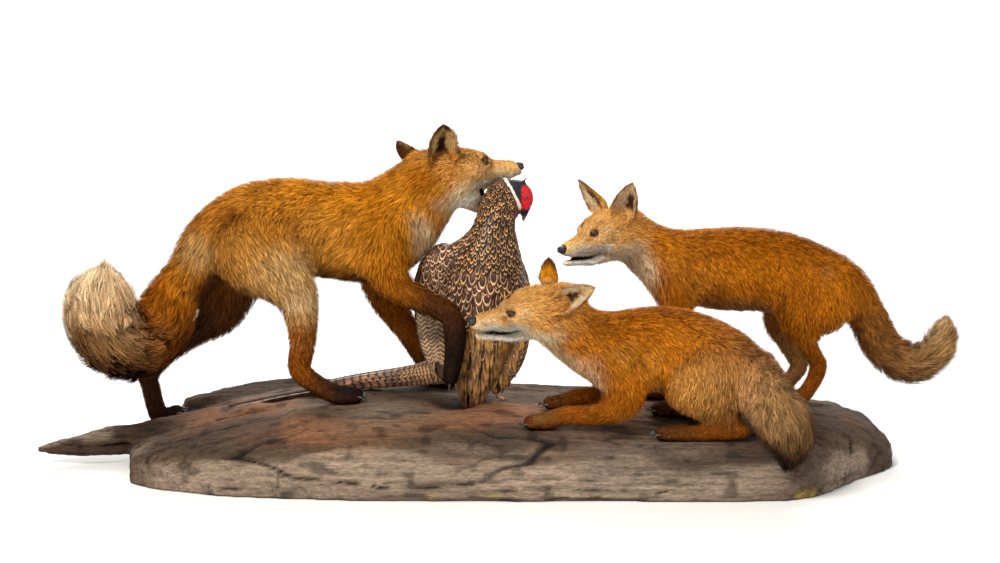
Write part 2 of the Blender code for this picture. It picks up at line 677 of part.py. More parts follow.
def limb_region(name, rows, collection):
    bm = bmesh.new()
    loft(bm, rows, (0.0, 1.0, 0.0), sides=14)
    bmesh.ops.recalc_face_normals(bm, faces=bm.faces)
    made = fused(name, bm, 260, collection, smoothing=4, voxel=0.006)
    made.hide_render = True
    made.display_type = "WIRE"
    return made


def leg_region(fox, name, collection):
    """The space a leg fills: it starts small inside the body and is wider than the leg below the joint."""
    table, swell = (HIND_LEG, HIND_SWELL) if name.startswith("hind") else (FORE_LEG, FORE_SWELL)
    joints = feet_on_log(fox, name, fox.legs[name])
    outward = math.copysign(0.014, joints[1][1] - 0.02)
    rows = []
    for k, (at, (width, depth)) in enumerate(zip(joints, table)):
        wide, deep = swell[min(k, len(swell) - 1)]
        shift = outward if k < 2 else 0.0
        rows.append((at[0], at[1] + shift, at[2], width * wide, depth * deep))
    tip, ankle = Vector(joints[-1]), Vector(joints[-2])
    rows.append((*(tip + (tip - ankle).normalized() * 0.02), *rows[-1][3:]))
    return limb_region(name + "_region", rows, collection)


def split(whole, space, name, shop, collection):
    """Takes what lies in a space out of the whole as a new piece, a thin cut between the two."""
    piece = new_object(name, whole.data.copy(), collection)
    cut(piece, space, "INTERSECT")
    cut(whole, swollen(space, shop, CUT))
    return piece


def part_adult(adult, fox, shop, collection):
    """Parts the adult into its legs, tail, head, neck, ears and jaw; what is left is the trunk."""
    frame = head_frame(fox)
    names = {"hind_right": "hind_leg_right", "hind_left": "hind_leg_left", "fore_right": "foreleg_right",
             "fore_left": "foreleg_left"}
    pieces = []
    for leg, name in names.items():
        pieces.append(split(adult, leg_region(fox, leg, shop), name, shop, collection))
    tail_rows = [(x, y, z, r * 1.25 + 0.006, r * 1.25 + 0.006) for x, y, z, r in fox.tail[1:]]
    pieces.append(split(adult, limb_region("tail_region", tail_rows, shop), "tail", shop, collection))
    behind = head_point(fox, (-0.034, 0.0, -0.01))
    nape = box_ahead("head_region", behind, frame @ Vector((1.0, 0.0, 0.42)), shop)
    head = split(adult, nape, "head", shop, collection)
    throat = box_ahead("neck_region", (-0.106, 0.018, 0.468), (0.72, 0.0, 0.69), shop)
    pieces.append(split(adult, throat, "neck", shop, collection))
    for ear, name in zip(fox.ears, ("ear_right", "ear_left")):
        at = Vector(ear.base) + Vector(ear.points).normalized() * EAR_ROOT
        reach = (0.12, 0.040, 0.034)
        space = box_ahead(name + "_region", head_point(fox, at), frame @ Vector(ear.points), shop, reach,
                          frame @ Vector(ear.opens))
        pieces.append(split(head, space, name, shop, collection))
    forward = Matrix.Rotation(math.radians(fox.gape + 8), 3, "Y") @ Vector((1.0, 0.0, 0.0))
    jaw = box_ahead("jaw_region", head_point(fox, JAW_CUT), frame @ forward, shop, (0.14, 0.034, 0.0235))
    pieces.append(split(head, jaw, "lower_jaw", shop, collection))
    adult.name = "trunk"
    return [*pieces, head, adult]


def main():
    clear_scene()
    group = bpy.data.collections.new("fox_group")
    shop = bpy.data.collections.new("cutters")
    for collection in (group, shop):
        bpy.context.scene.collection.children.link(collection)

    russet = finish("russet_fur", (0.52, 0.22, 0.06), 0.75)
    young = finish("young_fur", (0.58, 0.24, 0.07), 0.75)
    plumage = finish("plumage", (0.26, 0.15, 0.08), 0.6)
    wood = finish("weathered_wood", (0.30, 0.25, 0.20), 0.85)
    glass = finish("glass_eye", (0.10, 0.05, 0.02), 0.1)
    leather = finish("nose_leather", (0.02, 0.02, 0.02), 0.4)

    adult = whole_fox(ADULT, group)
    frame = head_frame(ADULT)
    eyes = []
    for side, name in ((1, "eye_left"), (-1, "eye_right")):
        at = head_point(ADULT, (EYE_AT[0], side * EYE_AT[1], EYE_AT[2]))
        radius = EYE_RADIUS * ADULT.head_size
        eyes.append(ball(name, group, at, (radius,) * 3))
        cut(adult, swollen(eyes[-1], shop))
    nose_radii = [NOSE_RADIUS * ADULT.head_size * k for k in (0.95, 1.05, 0.85)]
    nose = ball("nose", group, head_point(ADULT, NOSE_AT), nose_radii, frame)
    cut(adult, swollen(nose, shop))

    crouching = whole_fox(CROUCHING, group)
    standing = whole_fox(STANDING, group)
    bird = whole_bird(group)
    log = whole_log(group)
    for animal in (adult, crouching, standing):
        room = swollen(animal, shop)
        cut(bird, room)
        cut(log, room)
    cut(log, swollen(bird, shop))

    for made in part_adult(adult, ADULT, shop, group):
        made.data.materials.append(russet)
    for made, coat in ((crouching, young), (standing, young), (bird, plumage), (log, wood), (nose, leather)):
        made.data.materials.append(coat)
    for made in eyes:
        made.data.materials.append(glass)


main()
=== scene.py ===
"""The look of a mounted group: an adult red fox holding a pheasant, and two young foxes, on driftwood.

Metres, +Z up. Every animal is a skin lofted through its joints, a coat's depth inside its outline, with
fine tufts or feathers over it that follow the lie of the coat.
"""

import sys
import logging
import math
from dataclasses import dataclass
from enum import Enum

import bpy
import numpy as np
from mathutils import Matrix, Vector
from mathutils.kdtree import KDTree


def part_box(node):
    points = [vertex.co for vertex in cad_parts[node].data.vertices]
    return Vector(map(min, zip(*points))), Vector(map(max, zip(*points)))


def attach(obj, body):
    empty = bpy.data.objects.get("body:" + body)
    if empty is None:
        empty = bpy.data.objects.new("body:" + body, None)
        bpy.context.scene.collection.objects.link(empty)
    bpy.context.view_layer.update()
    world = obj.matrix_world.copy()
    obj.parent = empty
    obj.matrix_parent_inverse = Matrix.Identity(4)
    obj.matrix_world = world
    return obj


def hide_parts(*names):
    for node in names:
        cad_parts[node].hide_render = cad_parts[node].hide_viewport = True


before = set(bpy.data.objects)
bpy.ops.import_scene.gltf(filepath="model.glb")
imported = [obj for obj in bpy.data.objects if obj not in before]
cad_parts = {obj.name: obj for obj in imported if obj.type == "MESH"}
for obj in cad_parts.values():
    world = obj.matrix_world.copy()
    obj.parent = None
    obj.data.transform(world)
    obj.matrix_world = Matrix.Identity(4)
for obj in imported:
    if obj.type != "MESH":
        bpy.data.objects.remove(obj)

LOG = logging.getLogger("fox_group")
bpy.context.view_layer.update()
Array = np.ndarray
Tree = bpy.types.NodeTree
Socket = bpy.types.NodeSocket
UP = np.array((0.0, 0.0, 1.0))
COAT = "Coat"  # the vertex colours
MAP = "OFBake"  # the surface laid out flat
SKIN_SHADE = 0.78  # the skin's brightness, as a share of its tufts'
ROOT_DEPTH = 0.0006  # how far under the skin a tuft starts
TUFT_SHADES = (0.42, 0.42, 0.96, 0.96, 1.22)  # brightness at a tuft's two foot, two middle and one tip corners: painted shade among the hairs at the feet, the coat's own paler tips at the tip


class Tone(Enum):
    """Named colours, linear."""

    AMBER = (0.640, 0.235, 0.010)
    RUSSET = (0.460, 0.135, 0.005)
    RUST = (0.280, 0.078, 0.006)
    ORANGE = (0.640, 0.205, 0.009)
    GOLD = (0.640, 0.265, 0.035)
    HONEY = (0.830, 0.430, 0.130)
    PEACH = (0.920, 0.570, 0.280)
    SAND = (0.660, 0.330, 0.085)
    STRAW = (0.640, 0.390, 0.155)
    CREAM = (0.820, 0.600, 0.370)
    WHITE = (0.940, 0.860, 0.720)
    UMBER = (0.110, 0.038, 0.008)
    COCOA = (0.062, 0.022, 0.010)
    SOOT = (0.018, 0.010, 0.008)
    FAWN = (0.280, 0.130, 0.042)
    BUFF = (0.520, 0.265, 0.070)
    GREY = (0.200, 0.130, 0.080)
    BLACK = (0.005, 0.004, 0.004)

    @property
    def rgb(self) -> Array:
        """The colour as an array."""
        return np.array(self.value)


# ---- Small tools ----


def table(text: str) -> tuple:
    """Rows of numbers written as words: a row ends at ";", and "-" alone is None."""
    return tuple(tuple(None if word == "-" else float(word) for word in row.split())
                 for row in text.split(";"))


def curve(rows: tuple, at: Array, column: int) -> Array:
    """A column of a table, at places along its first one."""
    columns = np.array(rows).T
    return np.interp(at, columns[0], columns[column])


def smooth(low: float, high: float, value: Array) -> Array:
    """A soft step from 0 at low to 1 at high."""
    t = np.clip((value - low) / (high - low), 0.0, 1.0)
    return t * t * (3.0 - 2.0 * t)


def unit(v: Array) -> Array:
    """Rows of v at length one."""
    return v / np.maximum(np.linalg.norm(v, axis=-1, keepdims=True), 1e-9)


def over(base: Array, colour: tuple, share: Array) -> Array:
    """A colour painted over others, on each row as much as its share says."""
    share = share[:, None]
    return base * (1 - share) + np.asarray(colour) * share


def cell_key(cell: Array) -> Array:
    """One mixed number for each row of three whole ones."""
    return (cell[:, 0] * 73856093) ^ (cell[:, 1] * 19349663) ^ (cell[:, 2] * 83492791)


def noise(points: Array, scale: float, seed: int = 0) -> Array:
    """Smooth noise from -1 to 1.

    Args:
        points: n rows of x, y, z.
        scale: Cells per metre.
        seed: Which pattern.

    Returns:
        n values.
    """
    p = points * scale + 31.7 * (seed + 1)
    cell = np.floor(p).astype(np.int64)
    f = p - cell
    f = f * f * (3.0 - 2.0 * f)
    total = np.zeros(len(p))
    for corner in range(8):
        step = np.array((corner & 1, corner >> 1 & 1, corner >> 2 & 1))
        h = cell_key(cell + step) ^ (seed * 2654435)
        h = (h ^ (h >> 13)) * 1274126177 & 0x7FFFFFFF
        h = (h ^ (h >> 15)) & 0xFFFFF
        total += (h / 524287.5 - 1.0) * np.prod(np.where(step, f, 1.0 - f), axis=1)
    return total


def smooth_rows(rows: Array, per_span: int = 5) -> Array:
    """Rows of numbers on a Catmull-Rom curve through the given rows."""
    rows = np.array(rows, float)
    padded = np.vstack([2 * rows[0] - rows[1], rows, 2 * rows[-1] - rows[-2]])
    out = []
    for k in range(len(rows) - 1):
        a, b, c, d = padded[k : k + 4]
        for t in np.arange(per_span) / per_span:
            out.append(0.5 * (2 * b + (c - a) * t + (2 * a - 5 * b + 4 * c - d) * t**2
                              + (3 * b - a - 3 * c + d) * t**3))
    out.append(rows[-1])
    return np.array(out)


@dataclass
class Shell:
    """A plain mesh as arrays."""

    verts: Array
    faces: list

    @staticmethod
    def joined(shells: list) -> "Shell":
        """Several shells as one."""
        faces, count = [], 0
        for shell in shells:
            faces += [tuple(int(k) + count for k in face) for face in shell.faces]
            count += len(shell.verts)
        return Shell(np.vstack([s.verts for s in shells]), faces)

    def made(self, name: str) -> bpy.types.Object:
        """The shell as an object in the scene."""
        mesh = bpy.data.meshes.new(name)
        mesh.from_pydata(self.verts.tolist(), [], self.faces)
        thing = bpy.data.objects.new(name, mesh)
        bpy.context.scene.collection.objects.link(thing)
        return thing


def sideways(ahead: Array, across: tuple) -> tuple:
    """(side, top), both square to ahead, the side as near across as may be."""
    across = np.array(across, float)
    side = unit(across - (ahead @ across)[..., None] * ahead)
    return side, np.cross(ahead, side)


def tube(centre: Array, side: Array, top: Array, size: Array, sides: int) -> Shell:
    """Rings joined by four-sided faces, with flat ends.

    Args:
        centre: Middle of each ring.
        side: Direction of its width.
        top: Direction of its depth.
        size: Half width and half depth.
        sides: Vertices in a ring.

    Returns:
        The tube.
    """
    turn = 2 * np.pi * np.arange(sides) / sides
    verts = (centre[:, None] + side[:, None] * (size[:, :1] * np.cos(turn))[..., None]
             + top[:, None] * (size[:, 1:] * np.sin(turn))[..., None]).reshape(-1, 3)
    last = len(verts) - sides
    faces = [(low + k, low + (k + 1) % sides, low + sides + (k + 1) % sides, low + sides + k)
             for low in range(0, last, sides) for k in range(sides)]
    return Shell(verts, faces + [tuple(reversed(range(sides))), tuple(range(last, len(verts)))])


def loft(rows: Array, across: tuple, sides: int = 24, per_span: int = 5) -> Shell:
    """A closed limb with round ends.

    Args:
        rows: x, y, z, half width, half depth.
        across: Direction of the width.
        sides: Vertices round it.
        per_span: Rings between two rows.

    Returns:
        The limb.
    """
    path = smooth_rows(rows, per_span)
    points, sizes = path[:, :3], np.maximum(path[:, 3:5], 0.001)
    along = unit(np.gradient(points, axis=0))
    caps = [(math.cos(a), math.sin(a)) for a in (1.45, 1.15, 0.85, 0.4)]
    start, end = sizes[0].mean() * 0.7, sizes[-1].mean() * 0.9
    rings = [(points[0] - along[0] * start * s, along[0], sizes[0] * c) for c, s in caps]
    rings += list(zip(points, along, sizes))
    rings += [(points[-1] + along[-1] * end * s, along[-1], sizes[-1] * c) for c, s in reversed(caps)]
    centre, forward, size = (np.array(column) for column in zip(*rings))
    return tube(centre, *sideways(forward, across), size, sides)


def thread(rows: Array) -> Shell:
    """A three-sided tapering hair through rows of x, y, z, half width and half depth."""
    along = unit(np.gradient(rows[:, :3], axis=0))
    side = unit(np.cross(along, (0.1, 0.2, 1.0)))
    return tube(rows[:, :3], side, np.cross(along, side), rows[:, 3:], 3)


def arrays(mesh: bpy.types.Mesh) -> tuple:
    """(vertices, triangles) of a mesh as arrays."""
    verts = np.empty(len(mesh.vertices) * 3, np.float32)
    mesh.vertices.foreach_get("co", verts)
    mesh.calc_loop_triangles()
    tris = np.empty(len(mesh.loop_triangles) * 3, np.int32)
    mesh.loop_triangles.foreach_get("vertices", tris)
    return verts.reshape(-1, 3).astype(float), tris.reshape(-1, 3)


def reshaped(thing: bpy.types.Object, *modifiers: tuple) -> tuple:
    """What modifiers make of an object, which is then removed.

    Args:
        thing: The object.
        *modifiers: The kind and the settings of each.

    Returns:
        (vertices, triangles)
    """
    for kind, settings in modifiers:
        modifier = thing.modifiers.new(kind.lower(), kind)
        for key, value in settings.items():
            setattr(modifier, key, value)
    bpy.context.view_layer.update()
    graph = bpy.context.evaluated_depsgraph_get()
    out = arrays(bpy.data.meshes.new_from_object(thing.evaluated_get(graph)))
    bpy.data.objects.remove(thing)
    return out


def fused(thing: bpy.types.Object, voxel: float, rounds: int) -> tuple:
    """(vertices, triangles) of one closed, relaxed surface round an object of overlapping bodies."""
    return reshaped(thing, ("REMESH", {"mode": "VOXEL", "voxel_size": voxel}),
                    ("SMOOTH", {"factor": 0.5, "iterations": rounds}))


def normals_of(verts: Array, tris: Array) -> Array:
    """Area-weighted vertex normals."""
    a, b, c = (verts[tris[:, k]] for k in range(3))
    face = np.cross(b - a, c - a)
    out = np.zeros_like(verts)
    for k in range(3):
        for axis in range(3):
            out[:, axis] += np.bincount(tris[:, k], face[:, axis], len(verts))
    return unit(out)


def refined(verts: Array, tris: Array, chosen: Array) -> tuple:
    """Splits the chosen triangles in four and closes their neighbours to match.

    Args:
        verts: Vertices.
        tris: Triangles.
        chosen: Which vertices' triangles are split.

    Returns:
        (vertices, triangles)
    """
    hit = chosen[tris].any(axis=1)
    edges = np.sort(np.vstack([tris[:, (0, 1)], tris[:, (1, 2)], tris[:, (2, 0)]]), axis=1)
    key = edges[:, 0].astype(np.int64) * len(verts) + edges[:, 1]
    cut = np.unique(key[np.tile(hit, 3)])
    slot = np.searchsorted(cut, key)
    slot[slot == len(cut)] = 0
    middle = np.where(cut[slot] == key, slot + len(verts), -1).reshape(3, -1).T
    points = np.vstack([verts, (verts[cut // len(verts)] + verts[cut % len(verts)]) / 2])
    count = (middle >= 0).sum(axis=1)
    both = np.hstack([tris, middle])
    out = [tris[count == 0]]
    out += [both[count == 3][:, pick] for pick in ((0, 3, 5), (3, 1, 4), (5, 4, 2), (3, 4, 5))]
    for turn in range(3):
        order = [(turn + k) % 3 for k in range(3)]
        turned = both[:, order + [k + 3 for k in order]]
        one = turned[(count == 1) & (turned[:, 3] >= 0)]
        two = turned[(count == 2) & (turned[:, 5] < 0)]
        out += [one[:, (0, 3, 2)], one[:, (3, 1, 2)], two[:, (0, 3, 2)], two[:, (3, 4, 2)], two[:, (3, 1, 4)]]
    return points, np.vstack(out).astype(np.int32)


def relaxed(verts: Array, tris: Array, where: Array, rounds: int) -> Array:
    """Vertices moved towards the middle of their neighbours, as far as where says."""
    out = verts.copy()
    for _ in range(rounds):
        total, count = np.zeros_like(out), np.zeros(len(out))
        for a, b in ((0, 1), (1, 2), (2, 0), (1, 0), (2, 1), (0, 2)):
            for axis in range(out.shape[1]):
                total[:, axis] += np.bincount(tris[:, a], out[tris[:, b], axis], len(out))
            count += np.bincount(tris[:, a], minlength=len(out))
        mean = total / np.maximum(count, 1)[:, None]
        out += (mean - out) * (0.5 * where)[:, None]
    return out


def weighted(verts: Array, tris: Array, where: Array) -> bpy.types.Object:
    """An object with a vertex group that says where, in eight steps of strength."""
    thing = mesh_object("weighted", verts, tris)
    group = thing.vertex_groups.new(name="where")
    steps = np.round(np.clip(where, 0.0, 1.0) * 8).astype(int)
    for step in range(1, 9):
        group.add(np.flatnonzero(steps == step).tolist(), step / 8, "REPLACE")
    return thing


def eased(verts: Array, tris: Array, where: Array, rounds: int) -> Array:
    """Much the same as relaxed, for many rounds."""
    settings = {"factor": 0.5, "iterations": rounds, "vertex_group": "where"}
    return reshaped(weighted(verts, tris, where), ("SMOOTH", settings))[0]


def thinned(verts: Array, tris: Array, free: Array, share: float) -> tuple:
    """(vertices, triangles) with only a share of the triangles left, none taken where free is 0."""
    settings = {"ratio": int(len(tris) * share) / len(tris), "vertex_group": "where"}
    return reshaped(weighted(verts, tris, free * 1.0), ("DECIMATE", settings))


def mesh_object(
    name: str,
    verts: Array,
    tris: Array,
    colours: Array | None = None,
    uvs: dict | None = None,
    normals: Array | None = None,
) -> bpy.types.Object:
    """An object of triangles with smooth shading.

    Args:
        name: The piece's name.
        verts: Vertices.
        tris: Triangles.
        colours: One colour for each vertex, kept as its coat.
        uvs: Map name to one u, v for each vertex.
        normals: One shading normal for each vertex.

    Returns:
        The object, in the scene.
    """
    mesh = bpy.data.meshes.new(name)
    mesh.vertices.add(len(verts))
    mesh.vertices.foreach_set("co", verts.astype(np.float32).ravel())
    mesh.loops.add(len(tris) * 3)
    mesh.loops.foreach_set("vertex_index", tris.astype(np.int32).ravel())
    mesh.polygons.add(len(tris))
    mesh.polygons.foreach_set("loop_start", np.arange(len(tris), dtype=np.int32) * 3)
    mesh.update(calc_edges=True)
    mesh.shade_smooth()
    if colours is not None:
        layer = mesh.color_attributes.new(COAT, "FLOAT_COLOR", "POINT")
        full = np.ones((len(verts), 4), np.float32)
        full[:, :3] = np.clip(colours, 0.002, 0.95)
        layer.data.foreach_set("color", full.ravel())
    for title, uv in (uvs or {}).items():
        layer = mesh.uv_layers.new(name=title)
        layer.data.foreach_set("uv", uv[tris.ravel()].astype(np.float32).ravel())
    if normals is not None:
        mesh.normals_split_custom_set_from_vertices(unit(normals).astype(np.float32))
    thing = bpy.data.objects.new(name, mesh)
    bpy.context.scene.collection.objects.link(thing)
    return thing


def unwrap(thing: bpy.types.Object, margin: float = 0.0008) -> None:
    """Lays the object's surface out flat as its map."""
    if MAP not in thing.data.uv_layers:
        thing.data.uv_layers.new(name=MAP)
    thing.data.uv_layers[MAP].active = True
    for other in bpy.context.selected_objects:
        other.select_set(False)
    bpy.context.view_layer.objects.active = thing
    thing.select_set(True)
    bpy.ops.object.mode_set(mode="EDIT")
    bpy.ops.mesh.select_all(action="SELECT")
    bpy.ops.uv.smart_project(angle_limit=math.radians(60), island_margin=margin)
    bpy.ops.object.mode_set(mode="OBJECT")
    thing.select_set(False)


def placed(thing: bpy.types.Object, slot: str, finish: "Finish", *nodes: str) -> None:
    """Dresses a piece, makes it ride on the group and stand for nodes."""
    thing.data.materials.clear()
    thing.data.materials.append(finish.material())
    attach(thing, "root")
    if nodes:
        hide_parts(*nodes)
    LOG.info("%s: %d faces", thing.name, len(thing.data.polygons))


def hard_piece(name: str, shells: list, slot: str, finish: "Finish") -> None:
    """A smooth piece made of shells, unwrapped and dressed."""
    piece = Shell.joined(shells).made(name)
    piece.data.shade_smooth()
    unwrap(piece)
    placed(piece, slot, finish)


def ball(rings: int, spokes: int) -> tuple:
    """(steps from the first pole to the last, turns round them, triangles) of a ball open to any shape."""
    steps = np.pi * (np.arange(rings) + 0.5) / rings
    faces, last = [], (rings - 1) * spokes
    for low in range(0, last, spokes):
        for k in range(spokes):
            n, high = (k + 1) % spokes, low + spokes
            faces += [(low + k, high + k, high + n), (low + k, high + n, low + n)]
    for k in range(1, spokes - 1):
        faces += [(0, k, k + 1), (last, last + k + 1, last + k)]
    return steps, 2 * np.pi * np.arange(spokes) / spokes, np.array(faces)


def outward(verts: Array, tris: Array, centre: Array) -> Array:
    """The triangles, all turned over if they face the centre."""
    return tris[:, ::-1] if (normals_of(verts, tris) * (verts - centre)).sum() < 0 else tris


# ---- Finishes ----


@dataclass(frozen=True)
class Finish:
    """A procedural material. Sub-classes say what feeds its shader."""

    name: str
    roughness: float = 0.6

    def material(self) -> bpy.types.Material:
        """The finish as a material, made once."""
        made = bpy.data.materials.get(self.name + "_look")
        if made is None:
            made = bpy.data.materials.new(self.name + "_look")
            made.use_nodes = True
            shader = made.node_tree.nodes["Principled BSDF"]
            self.feed(made.node_tree, shader, {"Roughness": self.roughness} | self.dress(made.node_tree))
        return made

    def dress(self, tree: Tree) -> dict:
        """Adds this finish's nodes and returns the shader's inputs."""
        raise NotImplementedError

    @staticmethod
    def feed(tree: Tree, node: bpy.types.Node, inputs: dict) -> None:
        """Sets a node's inputs, each to a socket's output or to a value."""
        for key, value in inputs.items():
            if isinstance(value, Socket):
                tree.links.new(node.inputs[key], value)
            else:
                node.inputs[key].default_value = value

    @classmethod
    def add(cls, tree: Tree, kind: str, inputs: dict, output: object = 0, **settings: object) -> Socket:
        """Adds a node.

        Args:
            tree: Where it goes.
            kind: Node type without the ShaderNode prefix.
            inputs: What goes into it.
            output: Which output is wanted.
            **settings: Its other properties.

        Returns:
            The output.
        """
        node = tree.nodes.new("ShaderNode" + kind)
        for key, value in settings.items():
            setattr(node, key, value)
        cls.feed(tree, node, inputs)
        return node.outputs[output]

    @classmethod
    def math(cls, tree: Tree, operation: str, *values: object) -> Socket:
        """Arithmetic on sockets and numbers."""
        return cls.add(tree, "Math", dict(enumerate(values)), operation=operation)

    @classmethod
    def own(cls, tree: Tree) -> Socket:
        """The piece's own vertex colours."""
        return cls.add(tree, "Attribute", {}, "Color", attribute_name=COAT)

    @classmethod
    def noise(cls, tree: Tree, scale: float, detail: float = 3.0,
              stretch: tuple = (1.0, 1.0, 1.0), roughness: float = 0.5) -> Socket:
        """Noise over the object's own space, its cells stretched."""
        space = cls.add(tree, "TexCoord", {}, "Object")
        mapped = cls.add(tree, "Mapping", {"Vector": space, "Scale": stretch}, "Vector")
        return cls.add(tree, "TexNoise", {"Vector": mapped, "Scale": scale, "Detail": detail,
                                          "Roughness": roughness}, "Fac")

    @classmethod
    def bump(cls, tree: Tree, height: Socket, strength: float, distance: float) -> Socket:
        """Normals of a bump from a height."""
        return cls.add(tree, "Bump", {"Height": height, "Strength": strength, "Distance": distance}, "Normal")

    @classmethod
    def ramp(cls, tree: Tree, factor: Socket, *stops: tuple) -> Socket:
        """Colours by a factor; a stop is (place, red, green, blue) or (place, grey)."""
        node = tree.nodes.new("ShaderNodeValToRGB")
        tree.links.new(node.inputs["Fac"], factor)
        band = node.color_ramp
        while len(band.elements) < len(stops):
            band.elements.new(0.5)
        for element, (place, *colour) in zip(band.elements, stops):
            element.position = place
            element.color = (*(colour * 3)[:3], 1.0)
        return node.outputs["Color"]

    @classmethod
    def mix(cls, tree: Tree, factor: object, first: object, second: object,
            blend: str = "MULTIPLY") -> Socket:
        """Mixes two colours, each a socket or numbers."""
        return cls.add(tree, "Mix", {0: factor, 6: first, 7: second}, 2, data_type="RGBA", blend_type=blend)


@dataclass(frozen=True)
class FurFinish(Finish):
    """Hair in the colours of the coat's own markings, with fine streaks."""

    depth: float = 0.0

    def dress(self, tree: Tree) -> dict:
        """Colour from the coat, varied by streaks."""
        streak = self.ramp(tree, self.noise(tree, 420.0), (0.36, 0.50, 0.45, 0.40), (0.64, 1.40, 1.38, 1.35))
        out = {"Base Color": self.mix(tree, 0.55, self.own(tree), streak), "Specular IOR Level": 0.03}
        if self.depth:
            out["Normal"] = self.bump(tree, self.noise(tree, 700.0, 4.0), 0.8, self.depth)
        return out


@dataclass(frozen=True)
class SmoothFinish(Finish):
    """A hard or leathery surface of two mottled colours."""

    colour: tuple = (0.5, 0.5, 0.5)
    second: tuple = (0.4, 0.4, 0.4)
    grain: float = 300.0
    depth: float = 0.0002
    gloss: float = 0.0

    def dress(self, tree: Tree) -> dict:
        """Two mottled colours and a fine bump."""
        cells = self.noise(tree, self.grain)
        return {"Base Color": self.ramp(tree, cells, (0.35, *self.colour), (0.65, *self.second)),
                "Coat Weight": self.gloss, "Coat Roughness": 0.08,
                "Normal": self.bump(tree, cells, 0.5, self.depth)}


@dataclass(frozen=True)
class PaintedFinish(Finish):
    """A surface in its own vertex colours."""

    def dress(self, tree: Tree) -> dict:
        """Vertex colours with a faint mottle."""
        mottle = self.ramp(tree, self.noise(tree, 900.0, 2.0), (0.3, 0.86), (0.7, 1.1))
        return {"Base Color": self.mix(tree, 1.0, self.own(tree), mottle), "Specular IOR Level": 0.3}


ADULT_COAT = FurFinish("adult_coat", 0.75)
YOUNG_COAT = FurFinish("young_coat", 0.75)
ADULT_SKIN = FurFinish("adult_underfur", 0.75, 0.0006)
YOUNG_SKIN = FurFinish("young_underfur", 0.75, 0.0006)
NOSE_LEATHER = SmoothFinish("nose_leather", 0.52, (0.006, 0.005, 0.006), (0.016, 0.014, 0.015), 1400.0,
                            0.0006, 0.06)
CLAW_HORN = SmoothFinish("claw_horn", 0.35, (0.020, 0.013, 0.009), (0.070, 0.045, 0.030), 400.0, 0.0001)
TOOTH_ENAMEL = SmoothFinish("tooth_enamel", 0.25, (0.62, 0.54, 0.40), (0.70, 0.64, 0.52), 300.0, 0.00005, 0.4)
WHISKER_HAIR = SmoothFinish("whisker_hair", 0.4, (0.020, 0.014, 0.012), (0.050, 0.035, 0.025), 300.0, 0.00001)
EYE_GLASS = PaintedFinish("eye_glass", 0.07)


# ---- The hide: a skin and the way its coat lies ----


@dataclass(frozen=True)
class Fur:
    """The coat at one stop along a limb: its colours by side, its depth, its hairs' length and width."""

    back: Tone
    flank: Tone
    belly: Tone
    depth: float
    length: float
    width: float = 0.0009

    def numbers(self) -> Array:
        """All of it as one row."""
        sizes = np.array((self.depth, self.length, self.width))
        return np.concatenate([sizes, self.back.rgb, self.flank.rgb, self.belly.rgb])


def furs(text: str) -> tuple:
    """Furs as words: back, flank, belly, depth, length and, if not the usual one, width; ";" ends each."""
    rows = (row.split() for row in text.split(";"))
    return tuple(Fur(*(Tone[word] for word in row[:3]), *map(float, row[3:])) for row in rows)


@dataclass
class Limb:
    """A lofted body part: rows of x, y, z, half width, half depth, with the coat included."""

    name: str
    rows: Array
    furs: tuple
    across: tuple = (0.0, 1.0, 0.0)
    flow: float = 1.0  # which way along the rows the hair lies
    drape: float = 0.0  # how much it hangs

    def coat(self, where: Array) -> Array:
        """The furs' numbers at places from 0 to 1 along the limb."""
        numbers = np.array([fur.numbers() for fur in self.furs])
        stops = np.linspace(0.0, 1.0, len(numbers))
        return np.stack([np.interp(where, stops, column) for column in numbers.T], axis=1)

    def form(self, sides: int = 28) -> Shell:
        """The limb's outline, coat included."""
        return loft(self.rows, self.across, sides)

    def samples(self) -> Array:
        """Rows of place, radius, tangent, drape, coat and again radius at even steps."""
        path = smooth_rows(self.rows, 4)
        tangent = unit(np.gradient(path[:, :3], axis=0)) * self.flow
        radius = np.maximum(path[:, 3:5].mean(axis=1, keepdims=True), 0.004)
        where = np.linspace(0.0, 1.0, len(path))
        drape = np.full((len(path), 1), self.drape)
        return np.hstack([path[:, :3], radius, tangent, drape, self.coat(where), radius])


@dataclass(frozen=True)
class Patch:
    """A soft patch of colour, in most places a marking, in a few painted shade and painted highlight: its
    colour, strength, place in the head's frame or the scene, and radii.
    """

    tone: Tone
    strength: float
    at: tuple
    radii: tuple
    on_head: bool

    def share(self, points: Array) -> Array:
        """How much of the patch each point has; one on the head is on both its sides."""
        out = np.zeros(len(points))
        for side in (1, -1) if self.on_head else (1,):
            far = np.linalg.norm((points - np.array(self.at) * (1, side, 1)) / np.array(self.radii), axis=1)
            out = np.maximum(out, 1.0 - smooth(0.45, 1.15, far))
        return out * self.strength


def patches(text: str, on_head: bool = False) -> tuple:
    """Patches written as words: tone, strength, place and radii; each ends at ";"."""
    made = []
    for row in text.split(";"):
        tone, *words = row.split()
        strength, *sizes = map(float, words)
        made.append(Patch(Tone[tone], strength, tuple(sizes[:3]), tuple(sizes[3:]), on_head))
    return tuple(made)


